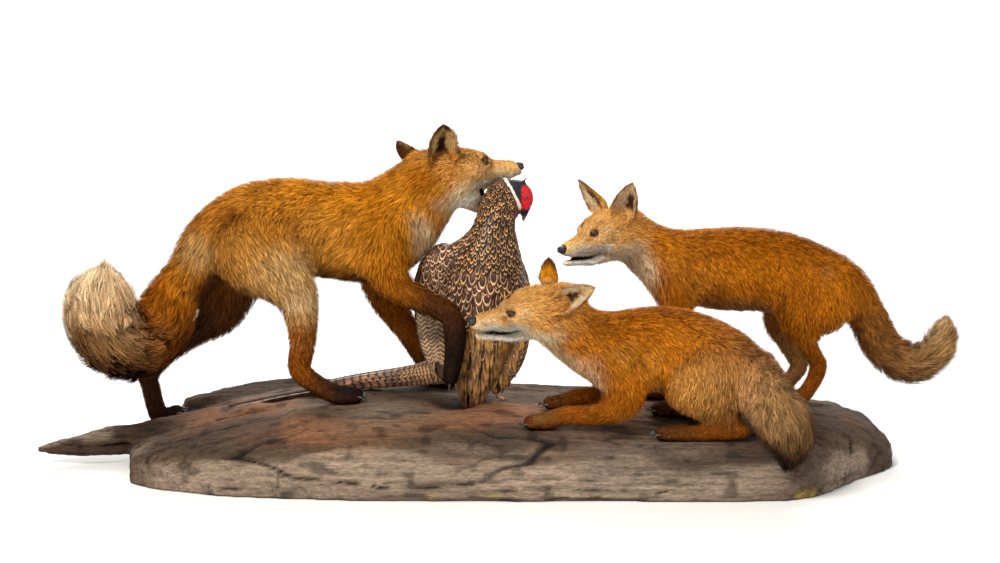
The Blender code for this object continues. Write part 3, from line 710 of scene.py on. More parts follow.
@dataclass
class Hide:
    """A skin's mesh with its coat's direction, size and colour at every vertex."""

    verts: Array
    tris: Array
    lie: Array
    depth: Array
    length: Array
    width: Array
    colour: Array
    cover: Array  # 0 where bare
    part: Array
    normals: Array
    uv: Array | None = None
    tree: KDTree | None = None

    def joined(self, other: "Hide") -> "Hide":
        """This hide and another one as one."""
        names = ("verts", "lie", "depth", "length", "width", "colour", "cover", "part", "normals")
        merged = {name: np.concatenate([getattr(self, name), getattr(other, name)]) for name in names}
        return Hide(tris=np.vstack([self.tris, other.tris + len(self.verts)]), **merged)

    def settle(self) -> None:
        """Makes the lie of the coat follow the skin and readies the search tree."""
        self.lie = self.flat(self.lie, self.normals)
        self.tree = KDTree(len(self.verts))
        for k, v in enumerate(self.verts.tolist()):
            self.tree.insert(v, k)
        self.tree.balance()

    @staticmethod
    def flat(lie: Array, normals: Array) -> Array:
        """Directions laid down on the skin."""
        return unit(lie - (lie * normals).sum(axis=1, keepdims=True) * normals)

    def made(self, name: str) -> bpy.types.Object:
        """The skin as an object, unwrapped; keeps the map for the tufts."""
        skin = mesh_object(name, self.verts, self.tris, self.colour * SKIN_SHADE)
        unwrap(skin)
        loops = np.empty(len(self.tris) * 6, np.float32)
        skin.data.uv_layers[MAP].data.foreach_get("uv", loops)
        self.uv = loops.reshape(-1, 3, 2)
        return skin

    def scatter(self, chosen: Array, count: int, rng: np.random.Generator) -> tuple:
        """Random roots, closer together where the hairs are small.

        Args:
            chosen: True for each vertex whose coat is wanted.
            count: How many roots.
            rng: Source of chance.

        Returns:
            (triangle of each root, its weights on the corners)
        """
        a, b, c = (self.verts[self.tris[:, k]] for k in range(3))
        area = np.linalg.norm(np.cross(b - a, c - a), axis=1) / 2
        size = (self.length * self.width)[self.tris].mean(axis=1) * 0.6
        here = (chosen[self.tris].sum(axis=1) >= 2) * self.cover[self.tris].mean(axis=1)
        weight = area * here / np.maximum(size, 1e-8) ** 0.85
        total = np.cumsum(weight)
        picked = np.searchsorted(total, rng.random(count) * total[-1])
        u = np.sqrt(rng.random((len(picked), 1)))
        v = rng.random((len(picked), 1))
        return picked, np.hstack([1 - u, u * (1 - v), u * v])

    def at(self, values: Array, picked: Array, weights: Array) -> Array:
        """Values at roots, from those at the corners."""
        corner = values[self.tris[picked]]
        if corner.ndim == 2:
            return (corner * weights).sum(axis=1)
        return (corner * weights[:, :, None]).sum(axis=1)

    def walk(self, start: Array, lie: Array, step: Array, count: int, turn: Array) -> list:
        """Steps over the skin with the lie of the coat.

        Args:
            start: Roots.
            lie: First direction.
            step: Length of each step.
            count: How many steps.
            turn: A sideways push kept all the way.

        Returns:
            [(places, normals)] after each step.
        """
        here, heading, out = start, lie, []
        find = self.tree.find
        for _ in range(count):
            straight = here + heading * step[:, None]
            near = np.fromiter((find(p)[1] for p in straight.tolist()), np.int64, len(straight))
            normal = self.normals[near]
            off = ((straight - self.verts[near]) * normal).sum(axis=1, keepdims=True)
            drop = -normal * off
            limit = 0.45 * step[:, None]
            size = np.linalg.norm(drop, axis=1, keepdims=True)
            here = straight + drop * np.minimum(1.0, limit / np.maximum(size, 1e-9))
            heading = unit(0.55 * self.lie[near] + 0.45 * heading + 0.25 * turn)
            out.append((here, normal))
        return out


@dataclass(frozen=True)
class Tufting:
    """One piece of coat: the parts it covers, how many tufts it has and how they gather and stand."""

    name: str
    parts: tuple
    tufts: int
    seed: int
    clump: float = 0.42
    ragged: float = 0.38

    def made(self, hide: Hide, part_names: list) -> bpy.types.Object:
        """Grows the tufts on a hide.

        Args:
            hide: The skin they grow on.
            part_names: Name of each part number.

        Returns:
            The tufts as one object.
        """
        rng = np.random.default_rng(self.seed)
        wanted = [k for k, name in enumerate(part_names) if name in self.parts]
        picked, weights = hide.scatter(np.isin(hide.part, wanted), self.tufts, rng)
        count = len(picked)
        root, normal, lie, depth, length, width, colour = (hide.at(values, picked, weights) for values in (
            hide.verts, hide.normals, hide.lie, hide.depth, hide.length, hide.width, hide.colour))
        normal = unit(normal)
        lie = hide.flat(lie, normal)
        lump = max(0.28 * float(np.median(length)), 0.0025)
        cell = np.floor((root + 0.4 * noise(root, 90.0, 3)[:, None] * 0.01) / lump).astype(np.int64)
        _, group = np.unique(cell_key(cell), return_inverse=True)
        members = np.maximum(np.bincount(group), 1)
        chance = np.random.default_rng(self.seed + 1)
        lock = chance.uniform(0.62, 1.32, len(members))[group]
        uneven = chance.uniform(1.0 - 0.50 * self.ragged, 1.0 + 0.45 * self.ragged, len(members))
        length = length * uneven[group]
        length *= (rng.uniform(0.75, 1.20, count)
                   * (1.0 + self.ragged * 0.40 * noise(root, 42.0, self.seed + 3)))
        width = width * rng.uniform(0.75, 1.3, count)
        swirl = 0.30 * noise(root, 55.0, self.seed) + 0.22 * noise(root, 21.0, 5)
        swirl = (swirl + 0.16 * rng.standard_normal(count)) * (1.0 + 1.3 * max(self.ragged - 0.45, 0.0))
        lie = unit(lie + np.cross(normal, lie) * swirl[:, None])
        side = np.cross(normal, lie)
        stands = rng.uniform(1.0 - self.ragged * 1.4, 1.0 + self.ragged * 0.5, count)
        rise = np.clip(depth / length, 0.05, 0.93) * stands
        rise = np.minimum(rise * np.where(rng.random(count) < 0.14, rng.uniform(1.15, 1.6, count), 1.0), 0.96)
        reach = length * np.sqrt(np.maximum(1.0 - rise**2, 0.10))
        (middle, n1), (tip, n2) = hide.walk(root, lie, reach / 2, 2, side * (0.25 * swirl)[:, None])
        height = (length * rise)[:, None]
        middle = middle + n1 * height * 0.62
        tip = tip + n2 * height
        for points, pull in ((tip, self.clump), (middle, self.clump * 0.4)):
            mean = np.stack([np.bincount(group, points[:, k]) / members for k in range(3)], axis=1)
            points += (mean[group] - points) * pull
        tint = np.clip(1.0 + 0.27 * rng.standard_normal(count), 0.4, 1.7)[:, None] * lock[:, None]
        pale = smooth(0.20, 0.55, colour.mean(axis=1))
        dull = rng.random(count) < 0.16 * (1.0 - 0.8 * pale)
        tint = tint * np.where(dull[:, None], (0.45, 0.37, 0.33), 1.0)
        flat = unit(side + normal * rng.uniform(-0.5, 0.5, count)[:, None])
        half = (width / 2)[:, None]
        foot = root - normal * ROOT_DEPTH
        corners = np.stack([foot - flat * half, foot + flat * half, middle - flat * half * 0.85,
                            middle + flat * half * 0.85, tip], axis=1)
        frames = np.stack([normal, normal, n1, n1, n2], axis=1)
        tilt = np.array((-1, 1, -1, 1, 0))[:, None]
        shading = frames + flat[:, None] * tilt * 0.45 + 0.22 * rng.standard_normal((count, 1, 3))
        # the tufts' feet darkened as painted shade among the hairs, less under pale hair; the tips paler as
        # the coat's own tips
        shades = np.tile(TUFT_SHADES, (count, 1))
        shades[:, :2] += 0.30 * pale[:, None]
        shade = colour[:, None] * tint[:, None] * shades[:, :, None]
        spread = np.array(((-1, -0.5), (1, -0.5), (-1, 0.0), (1, 0.0), (0, 0.5))) * (0.0014, 0.0028)
        uv = (hide.uv[picked] * weights[:, :, None]).sum(axis=1)[:, None] + spread
        tris = (np.array(((0, 3, 1), (0, 2, 3), (2, 4, 3)))[None] + (np.arange(count) * 5)[:, None, None])
        return mesh_object(self.name, corners.reshape(-1, 3), tris.reshape(-1, 3), shade.reshape(-1, 3),
                           {MAP: np.clip(uv, 0.001, 0.999).reshape(-1, 2)}, shading.reshape(-1, 3))


# ---- Foxes ----


SPINE_WIDTHS = (1.00, 0.92, 0.86, 0.80, 0.80, 0.82, 0.86, 0.88, 0.87)  # of the depth, tail root to nape
HIND_LEG = table("""
    .042 .076; .044 .08; .034 .046; .022 .026; .017 .022; .0175 .018; .022 .018; .02 .0145""")
FORE_LEG = table(".038 .064; .03 .04; .022 .027; .018 .021; .0215 .019; .02 .0145")
# skull: forward of the ears, top, bottom, half width
SKULL = table("""
    -.04 .043 -.04 .043; -.01 .049 -.04 .052; .025 .0475 -.036 .052; .055 .043 -.034 .046;
    .075 .035 -.0315 .036; .088 .0275 -.0275 .0275; .1 .022 -.0225 .0225; .115 .0185 -.0175 .0195;
    .135 .0165 -.013 .017; .147 .0138 -.0078 .0132""")
# cheek: forward, aside, up, half width, half height
CHEEK = table(".05 .028 -.012 .017 .022; .02 .04 -.014 .021 .028; -.018 .043 -.018 .019 .03")
# jaw: forward, top, bottom, half width, with the mouth shut
JAW = table("""
    0 -.008 -.06 .036; .035 -.02 -.06 .031; .066 -.031 -.055 .024; .085 -.031 -.049 .0195;
    .105 -.0245 -.041 .016; .127 -.019 -.035 .0145; .145 -.017 -.0295 .0112""")
LIPS_FROM = 0.080
JAW_HINGE = (0.030, -0.020)
SHUT = 10.0  # a gape under this many degrees is a shut mouth
NOSE_AT = np.array((0.1512, 0.0, 0.0040))
NOSE_RADII = np.array((0.0082, 0.0090, 0.0078))
EYE_AT = np.array((0.0768, 0.0180, 0.0198))
EYE_RADIUS = 0.0092
IRIS = np.array((0.075, 0.028, 0.008))
PUPIL = np.array((0.004, 0.003, 0.003))
LIMBUS = np.array((0.014, 0.009, 0.007))
LID_REACH = 0.0150  # from the eye's middle to a lid's outer edge
EAR_WALL = 0.0034  # thickness at the ear's root
TOE_RADIUS = 0.0082
TOE_SPACING = 0.0126
CLAW_LENGTH = 0.011
EYE_LOOKS = unit(np.array((0.50, 0.84, 0.16)))
SOLE = 0.0025
# wood: along, middle of the depth, half depth, crown height
LOG_STATIONS = table("""
    -.6 -.03 .085 .045; -.555 -.015 .135 .064; -.5 -.005 .175 .08; -.435 -.003 .203 .096;
    -.3 0 .224 .124; -.15 0 .235 .137; .05 0 .238 .13; .2 0 .238 .12; .4 0 .238 .104; .59 0 .235 .097;
    .64 .025 .21 .094; .7 .055 .17 .086; .745 .065 .125 .07; .782 .042 .058 .035""")
LOG_ROUNDNESS = 3.2


def ground(x: float, y: float) -> float:
    """Height of the wood's top at x, y."""
    middle, half, crown = (float(curve(LOG_STATIONS, x, k)) for k in (1, 2, 3))
    reach = min(abs(y - middle) / half, 0.999)
    return crown * (1.0 - reach**LOG_ROUNDNESS) ** (1.0 / LOG_ROUNDNESS)


def within(local: Array, low: float, high: float, wide: float, tall: float) -> Array:
    """Which places in the head's frame are in a box about its middle plane."""
    x, y, z = local.T
    return (x > low) & (x < high) & (np.abs(y) < wide) & (np.abs(z) < tall)


@dataclass(frozen=True)
class Ear:
    """One ear in its head's frame: its base, the way it points and the way it opens."""

    base: tuple
    points: tuple
    opens: tuple
    length: float
    half_width: float
    bluntness: float
    waist: float = 0.90  # width at the base, as a share
    slit: float = 0.30  # half width of the painted shade in the hollow, as a share
    slit_at: float = 0.0  # its middle, from -1 to 1 across the ear


@dataclass(frozen=True)
class EarColours:
    """An ear's colours: its back and that one's tip, rim, inner side, the painted shade in that one's hollow,
    that one's top, and root.
    """

    back: Tone
    tip: Tone
    rim: Tone
    inner: Tone
    hollow_shade: Tone
    top: Tone
    root: Tone


@dataclass
class Fox:
    """A fox in its pose, with its coat."""

    name: str
    size: float
    head_at: tuple
    head_turn: tuple
    head_size: float
    gape: float
    lips: float
    spine: tuple
    legs: dict
    tail: tuple
    ears: tuple
    ear_colours: EarColours
    furs: dict
    patches: tuple
    nodes: tuple
    slot: str
    coat: Finish
    underfur: Finish
    tuftings: tuple
    faces: float = -1.0  # along x
    fillers: tuple = ()
    voxel: float = 0.0030
    keep: float = 0.225

    def __post_init__(self) -> None:
        """Works out the head's frame."""
        yaw, pitch, roll = (math.radians(a) for a in self.head_turn)
        heading = Matrix.Rotation(yaw + (0.0 if self.faces > 0 else math.pi), 3, "Z")
        turned = heading @ Matrix.Rotation(-pitch, 3, "Y") @ Matrix.Rotation(roll, 3, "X")
        self.turn = np.array(turned)

    def on_head(self, local: object) -> Array:
        """Places in the head's frame as places in the scene."""
        return np.array(self.head_at) + (np.array(local, float) * self.head_size) @ self.turn.T

    def in_head(self, points: Array) -> Array:
        """Places in the scene as places in the head's frame."""
        return (points - np.array(self.head_at)) @ self.turn / self.head_size

    def joints(self, name: str) -> Array:
        """A leg's rows of x, y, z, half width and half depth."""
        sizes = HIND_LEG if name.startswith("hind") else FORE_LEG
        rows = []
        for (x, y, z), (width, depth) in zip(self.legs[name], sizes):
            z = ground(x, y) + depth * self.size - SOLE if z is None else z
            rows.append((x, y, z, width * self.size, depth * self.size))
        return np.array(rows)

    def limbs(self) -> list:
        """The body's parts with their coats."""
        spine = np.array([(x, y, z, d * w, d) for (x, y, z, d), w in zip(self.spine, SPINE_WIDTHS)])
        head = self.head_size
        nape = np.array([*self.on_head((0.012, 0.0, -0.012)), 0.050 * head, 0.050 * head])
        across = tuple(self.turn[:, 1])
        skull, jaw = [], []
        for x, top, low, w in SKULL:
            low -= self.lips if x > LIPS_FROM else 0.0
            skull.append((*self.on_head((x, 0.0, (top + low) / 2)), w * head, (top - low) / 2 * head))
        for x, top, low, w in JAW:
            jaw.append((*self.on_head(self.jaw_point(x, (top + low) / 2)), w * head, (top - low) / 2 * head))
        tail = np.array([(x, y, z, r, r) for x, y, z, r in self.tail])
        made = [Limb("trunk", spine, self.furs["trunk"], flow=-1.0, drape=0.9),
                Limb("neck", np.vstack([spine[-2:], nape]), self.furs["neck"], flow=-1.0, drape=0.35),
                Limb("tail", tail, self.furs["tail"], (0.0, 1.0, 0.15)),
                Limb("head", np.array(skull), self.furs["head"], across, -1.0, 0.12),
                Limb("jaw", np.array(jaw), self.furs["jaw"], across, -1.0, 0.0)]
        for name in self.legs:
            fur = self.furs.get(name, self.furs[name.split("_")[0]])
            made.append(Limb(name, self.joints(name), fur, drape=0.25))
        return made

    def jaw_point(self, x: float, z: float) -> tuple:
        """A point of the shut jaw, dropped by the gape."""
        z -= self.lips if x > LIPS_FROM else 0.0
        a = math.radians(self.gape)
        dx, dz = x - JAW_HINGE[0], z - JAW_HINGE[1]
        return (JAW_HINGE[0] + dx * math.cos(a) + dz * math.sin(a), 0.0,
                JAW_HINGE[1] - dx * math.sin(a) + dz * math.cos(a))

    def toes(self) -> list:
        """(place, direction) of every toe's tip, and the toes' shells."""
        tips, shells = [], []
        for name in self.legs:
            rows = self.joints(name)
            heel, tip = rows[-2, :3], rows[-1, :3]
            ahead = unit(tip - heel)
            for k in range(4):
                offset = (k - 1.5) * TOE_SPACING * self.size
                reach = (0.009 if k in (1, 2) else 0.002) * self.size
                start = heel + (tip - heel) * 0.4 + np.array((0.0, offset * 0.8, 0.0))
                end = tip + np.array((0.0, offset, 0.0)) + ahead * reach
                r = TOE_RADIUS * self.size
                shells.append(loft([(*start, r, r), (*((start + end) / 2), r * 1.1, r * 1.25),
                                    (*end, r * 0.9, r * 0.9)], (0.0, 1.0, 0.0), 12, 3))
                tips.append((end + ahead * r * 0.7, ahead))
        return tips, shells

    def sculpted(self, verts: Array) -> tuple:
        """Shapes eye pits, brows, lips and the mouth's slot into the head.

        Returns:
            (vertices, how bare each is, how dark with lip skin each is, inside an open mouth partly painted
            shade)
        """
        local = self.in_head(verts)
        x, y, z = local.T
        side = np.sign(y) + (y == 0)
        even = np.abs(local) * (0, 1, 0) + local * (1, 0, 1)
        near_head = within(local, 0.02, 0.17, 0.06, 0.07)
        pit = (1.0 - smooth(0.0085, 0.0135, np.linalg.norm(even - EYE_AT, axis=1))) * near_head
        shift = -pit[:, None] * EYE_LOOKS * 0.0105
        shift[:, 1] *= side
        for at, radii, amount, out, up in (
            ((0.066, 0.026, 0.034), (0.016, 0.012, 0.008), 0.0026, 0.5, 0.8),  # brow
            ((0.072, 0.033, 0.004), (0.020, 0.012, 0.010), 0.0024, 1.0, 0.0),  # cheekbone
        ):
            swell = np.exp(-(((even - at) / radii) ** 2).sum(axis=1)) * amount * near_head
            shift[:, 1] += swell * (out * side)
            shift[:, 2] += swell * up
        from_nose = np.linalg.norm((local - NOSE_AT) / (NOSE_RADII * 1.1), axis=1)
        seat = 1.0 - smooth(0.85, 1.25, from_nose)
        shift[:, 0] -= seat * 0.0075
        bare = np.maximum(pit, seat)
        dark = 1.0 - smooth(0.75, 1.0, from_nose)
        if self.gape < SHUT:
            seam = np.interp(x, (0.066, 0.085, 0.105, 0.125, 0.145),
                             (-0.0305, -0.0298, -0.0252, -0.0200, -0.0165))
            seam = seam - self.lips * smooth(0.060, 0.084, x)
            half = np.interp(x, (0.058, 0.066, 0.090, 0.125, 0.146, 0.162),
                             (0.0, 0.0036, 0.0050, 0.0046, 0.0038, 0.003))
            away = np.abs(z - seam) / np.maximum(half, 1e-4)
            here = (x > 0.058) & (x < 0.162) & near_head
            slot = (1.0 - smooth(0.75, 1.25, away)) * here
            shift[:, 1] -= slot * y * 0.78
            shift[:, 0] -= slot * smooth(0.120, 0.138, x) * 0.004
            dark = np.maximum(dark, (1.0 - smooth(0.95, 1.12, away)) * here)
            bare = np.maximum(bare, (1.0 - smooth(1.0, 1.2, away)) * here)
        else:
            # the inside of an open mouth is painted black: partly its dark gums, partly painted shade in the
            # mouth
            roof = curve(SKULL, x, 2) - self.lips * (x > LIPS_FROM) + 0.003
            jaw_top = JAW_HINGE[1] - 0.010 - (x - JAW_HINGE[0]) * math.tan(math.radians(self.gape))
            inside = near_head & (x > 0.070) & (z < roof) & (z > jaw_top - 0.004 + 0.012 * (x < 0.094))
            dark = np.where(inside & (np.abs(y) < curve(SKULL, x, 3) * 0.62), 1.0, dark)
            bare = np.maximum(bare, dark)
        return verts + (shift * self.head_size) @ self.turn.T, bare, dark

    def lids(self) -> tuple:
        """Lids round both eyes: (vertices, triangles, how much of each vertex is dark rim)."""
        verts, tris, rims = [], [], []
        spokes, rings = 44, 9
        turn = 2 * np.pi * np.arange(spokes) / spokes
        u = np.cos(turn) * np.where(np.cos(turn) > 0, 0.0090, 0.0086)
        v = np.sign(np.sin(turn)) * np.abs(np.sin(turn)) ** 1.5 * np.where(np.sin(turn) > 0, 0.0050, 0.0038)
        edge = np.hypot(u, v)
        height = np.sqrt(np.maximum(EYE_RADIUS**2 - edge**2, 0.0))
        for side in (1, -1):
            looks = EYE_LOOKS * (1, side, 1)
            inwards = np.array((0.90, -0.55 * side, -0.28))
            ahead = unit(inwards - looks * np.dot(inwards, looks))
            above = np.cross(looks, ahead) * side
            above *= np.sign(above[2])
            for r in range(rings):
                t = max((r - 1) / (rings - 2), 0.0)
                grow = edge + (LID_REACH - edge) * t
                lift = height + 0.0006 + 0.0008 * math.sin(math.pi * min(t * 3.0, 1.0))
                lift = lift * (1 - 0.80 * t**1.2) - 0.0030 * t
                if r == 0:
                    grow, lift = edge * 0.99, height - 0.0006
                verts.append(self.on_head(EYE_AT * (1, side, 1) + (u / edge * grow)[:, None] * ahead
                                          + (v / edge * grow)[:, None] * above + lift[:, None] * looks))
                rims.append(np.full(spokes, (1.0, 1.0, 0.7)[r] if r < 3 else 0.0))
            first = (len(verts) - rings) * spokes
            for a in range(first, first + (rings - 1) * spokes, spokes):
                for k in range(spokes):
                    n, b = (k + 1) % spokes, a + spokes
                    quad = (a + k, a + n, b + n, b + k) if side < 0 else (a + k, b + k, b + n, a + n)
                    tris += [quad[:3], (quad[0], *quad[2:])]
        points, faces = np.vstack(verts), np.array(tris)
        left, right = self.on_head(EYE_AT), self.on_head(EYE_AT * (1, -1, 1))
        centre = np.where(self.in_head(points)[:, 1:2] > 0, left, right)
        return points, outward(points, faces, centre), np.concatenate(rims)

    def ear_hide(self, ear: Ear, part: int) -> Hide:
        """One ear as a cupped leaf with a rolled rim, its hair running to the tip."""
        up = unit(self.turn @ np.array(ear.points))
        opening = self.turn @ np.array(ear.opens)
        opening = unit(opening - up * (opening @ up))
        across = np.cross(up, opening)
        length, half = ear.length * self.head_size, ear.half_width * self.head_size
        rows, columns = 30, 30
        v = np.linspace(-0.22, 1.0, rows)[:, None] * np.ones(columns)
        c = np.ones(rows)[:, None] * np.linspace(-1.0, 1.0, columns)
        rise = np.maximum(v, 0.0)
        width = half * (0.60 + 0.40 * smooth(-0.16, 0.20, v)) * (ear.waist + (1.15 - ear.waist) * rise)
        width *= np.maximum(1.0 - rise**ear.bluntness, 0.004) ** (0.62 if ear.bluntness > 3.0 else 0.78)
        wrap = np.radians(100 - 62 * rise)
        radius = (width / np.sin(np.minimum(wrap, np.pi / 2)))[..., None]
        angle = (wrap * c)[..., None]
        way = across * np.sin(angle) - opening * np.cos(angle)
        middle = self.on_head(ear.base) + up * (length * v)[..., None]
        middle = middle + opening * (radius * np.cos(wrap)[..., None]) + way * radius
        wall = EAR_WALL * self.head_size * (1.15 - 0.45 * rise) * (1.0 - 0.55 * np.abs(c) ** 6)
        wall = wall * (1.0 - 0.5 * rise**12)
        fold = 0.0016 * np.exp(-((np.abs(c) - 0.55) / 0.12) ** 2) * np.exp(-((v - 0.25) / 0.25) ** 2)
        outer = middle + way * (wall / 2)[..., None]
        inner = middle - way * (wall / 2 + fold)[..., None]
        n = rows * columns
        front = np.arange(n).reshape(rows, columns)
        back = front + n
        tris = []
        for quad in ((front[:-1, :-1], front[:-1, 1:], front[1:, 1:], front[1:, :-1]),
                     (back[:-1, :-1], back[1:, :-1], back[1:, 1:], back[:-1, 1:]),
                     (front[:-1, -1], back[:-1, -1], back[1:, -1], front[1:, -1]),
                     (back[:-1, 0], front[:-1, 0], front[1:, 0], back[1:, 0]),
                     (front[-1, :-1], front[-1, 1:], back[-1, 1:], back[-1, :-1])):
            corners = np.stack([corner.ravel() for corner in quad], axis=1)
            tris += [corners[:, :3], corners[:, (0, 2, 3)]]
        verts = np.vstack([outer.reshape(-1, 3), inner.reshape(-1, 3)])
        tris = np.vstack(tris)
        normals = normals_of(verts, tris)
        if (normals[:n] * way.reshape(-1, 3)).sum() < 0:
            tris, normals = tris[:, ::-1], -normals
        tones = self.ear_colours
        r, place = rise.ravel(), c.ravel()
        rim = np.abs(place)
        grain = 0.18 * noise(verts, 160.0, 2)
        back = over(tones.back.rgb, tones.tip.rgb, smooth(0.35, 0.85, r + grain[:n]))
        # painted shade down the middle of the ear's hollow
        off_slit = np.abs(place - ear.slit_at) + grain[n:]
        deep = 1 - smooth(ear.slit * 0.6, ear.slit * 1.5, off_slit)
        deep = deep * (1 - smooth(0.55, 0.82, r)) * smooth(0.0, 0.22, r)
        inside = over(tones.inner.rgb, tones.hollow_shade.rgb, deep)
        inside = over(inside, tones.top.rgb, smooth(0.58, 0.86, r + grain[n:]))
        edge = (smooth(0.86, 1.0, rim) + smooth(0.90, 1.0, r)).clip(0, 1)
        back, inside = over(back, tones.rim.rgb, 0.6 * edge), over(inside, tones.rim.rgb, edge)
        low = 1 - smooth(0.04, 0.24, r + 0.5 * grain[:n])
        colour = np.vstack([over(face, tones.root.rgb, low) for face in (back, inside)])
        inner_lie = up + across * (np.sign(place) * -0.55)[:, None] + 0.5 * opening
        lie = unit(np.vstack([np.tile(up, (n, 1)), inner_lie]))
        fringe = smooth(0.55, 0.95, rim) * (1 - smooth(0.6, 0.95, r))
        long_hair = np.concatenate([np.full(n, 0.0075), 0.0075 + 0.011 * fringe]) * self.head_size
        depth = np.concatenate([np.full(n, 0.0013), 0.0012 + 0.0045 * fringe]) * self.head_size
        cover = np.concatenate([np.ones(n), 0.55 + 0.8 * fringe - 0.55 * deep])
        cover *= np.tile(smooth(-0.2, -0.1, v.ravel()), 2)
        return Hide(verts, tris, lie, depth, long_hair, np.full(2 * n, 0.0006), colour, cover.clip(0, 1.2),
                    np.full(2 * n, part), normals)

    def hide(self) -> tuple:
        """The skin with its coat's lie.

        Returns:
            (hide, part names)
        """
        limbs = self.limbs()
        cheeks = []
        for side in (1, -1):
            for rows in (CHEEK, *self.fillers):
                cheeks.append(loft([(*self.on_head((x, side * y, z)), w * self.head_size, h * self.head_size)
                                    for x, y, z, w, h in rows], tuple(self.turn[:, 1]), 16))
        body = Shell.joined([limb.form() for limb in limbs] + cheeks + self.toes()[1])
        verts, tris = fused(body.made(self.name + "_form"), self.voxel, 5)
        mixed = self.mixed(verts, limbs)[0]
        depth, girth = mixed[:, 4], mixed[:, -1]
        firm = within(self.in_head(verts), 0.03, 0.18, 0.07, 0.09)
        stout = smooth(0.024, 0.046, girth / self.size) * (1.0 - firm)
        thick = smooth(0.021, 0.030, girth / self.size) * (1.0 - firm)
        verts = eased(verts, tris, stout, 240)
        verts = verts + normals_of(verts, tris) * (stout * 0.0020)[:, None]
        verts = eased(verts, tris, thick, 12)
        verts = verts - normals_of(verts, tris) * (depth * 0.80)[:, None]
        verts = eased(verts, tris, thick, 6)
        verts, tris = thinned(verts, tris, (girth > 0.026) & ~firm, self.keep)
        verts, tris = refined(verts, tris, within(self.in_head(verts), 0.045, 0.18, 0.06, 0.075))
        local = self.in_head(verts)
        x, y, z = local.T
        close = np.linalg.norm(np.stack([x, np.abs(y), z], axis=1) - EYE_AT, axis=1) < 0.018
        if self.gape < SHUT:
            close |= (x > 0.056) & (x < 0.16) & (np.abs(z + 0.024 + self.lips) < 0.013)
        verts, tris = refined(verts, tris, close)
        soft = within(self.in_head(verts), 0.03, 0.18, 0.07, np.inf) * 1.0
        verts = relaxed(verts, tris, soft, 3)
        verts, bare, dark = self.sculpted(verts)
        verts = relaxed(verts, tris, soft * (bare > 0.02), 2)
        lid_verts, lid_tris, rim = self.lids()
        tris = np.vstack([tris, lid_tris + len(verts)])
        verts = np.vstack([verts, lid_verts])
        bare, dark = np.concatenate([bare, (rim > 0.2) * 1.0]), np.concatenate([dark, rim])
        made = self.dressed(verts, tris, limbs, bare, dark)
        names = [limb.name for limb in limbs] + ["ears"]
        for ear in self.ears:
            made = made.joined(self.ear_hide(ear, len(names) - 1))
        made.settle()
        return made, names

    @staticmethod
    def mixed(verts: Array, limbs: list) -> tuple:
        """Blends the limbs' coats.

        Returns:
            (tangent, drape and coat at every vertex, the limb each belongs to)
        """
        tables = [limb.samples() for limb in limbs]
        samples = np.vstack(tables)
        owner = np.repeat(np.arange(len(limbs)), [len(t) for t in tables])
        mixed, part = np.empty((len(verts), samples.shape[1] - 4)), np.empty(len(verts), int)
        for low in range(0, len(verts), 6000):
            chunk = verts[low : low + 6000]
            far = np.linalg.norm(chunk[:, None] - samples[None, :, :3], axis=2) / samples[:, 3]
            weight = np.maximum(far, 0.05) ** -6
            mixed[low : low + 6000] = weight @ samples[:, 4:] / weight.sum(axis=1, keepdims=True)
            shares = np.stack([weight[:, owner == k].sum(axis=1) for k in range(len(limbs))], axis=1)
            part[low : low + 6000] = shares.argmax(axis=1)
        return mixed, part

    def dressed(self, verts: Array, tris: Array, limbs: list, bare: Array, dark: Array) -> Hide:
        """Gives every vertex of the skin the coat of the limbs near it."""
        normals = normals_of(verts, tris)
        mixed, part = self.mixed(verts, limbs)
        hang = -UP - (normals @ -UP)[:, None] * normals
        lie = unit(mixed[:, :3]) + mixed[:, 3:4] * hang
        flat = relaxed(np.hstack([lie, mixed[:, 4:16]]), tris, np.clip(mixed[:, -1] / 0.05, 0.15, 1.0), 26)
        lie, depth, length, width = flat[:, :3], flat[:, 3], flat[:, 4], flat[:, 5]
        tones = flat[:, 6:].reshape(-1, 3, 3)
        wave = 0.20 * noise(verts, 22.0, 1) + 0.12 * noise(verts, 60.0, 2)
        top = smooth(0.15, 0.85, normals[:, 2] + wave)[:, None]
        # where the skin faces down it takes the belly tone, on the adult partly painted shade
        under = smooth(0.25, 0.85, -normals[:, 2] + wave)[:, None]
        colour = tones[:, 1] * (1 - top) * (1 - under) + tones[:, 0] * top + tones[:, 2] * under
        local = self.in_head(verts)
        jitter = np.stack([noise(verts, 70.0, k) for k in (11, 12, 13)], axis=1) * 0.0035
        for patch in self.patches:
            colour = over(colour, patch.tone.rgb, patch.share((local if patch.on_head else verts) + jitter))
        even = np.stack([local[:, 0], np.abs(local[:, 1]), local[:, 2]], axis=1)
        from_eye = np.linalg.norm(even - EYE_AT - EYE_LOOKS * 0.008, axis=1)
        short = 0.30 + 0.70 * smooth(0.008, 0.026, from_eye)
        length, depth = length * short, depth * short
        colour = over(colour, Tone.SOOT.rgb, (1.0 - smooth(0.0080, 0.0112, from_eye)) * 0.5)
        colour = colour * (1 + 0.16 * noise(verts, 55.0, 4) + 0.14 * noise(verts, 16.0, 6))[:, None]
        brown = (smooth(0.25, 0.75, noise(verts, 24.0, 9)) * smooth(0.006, 0.010, depth) * 0.30)[:, None]
        colour = over(colour * (1 - brown * (0.5, 0.62, 0.7)), Tone.BLACK.rgb, dark)
        return Hide(verts, tris, lie, depth, length, width, colour, 1.0 - bare.clip(0, 1), part, normals)

    def claws(self) -> None:
        """A curved claw at every toe."""
        shells = []
        for at, ahead in self.toes()[0]:
            s = CLAW_LENGTH * self.size
            rows = [(*(at + ahead * s * a + UP * s * b), r * self.size, r * 1.2 * self.size)
                    for a, b, r in table("-.35 .05 .0019; .1 .1 .0017; .5 0 .0012; .8 -.22 .0004")]
            shells.append(loft(rows, (0.0, 1.0, 0.0), 8, 3))
        hard_piece(self.name + "_claws", shells, self.slot, CLAW_HORN)

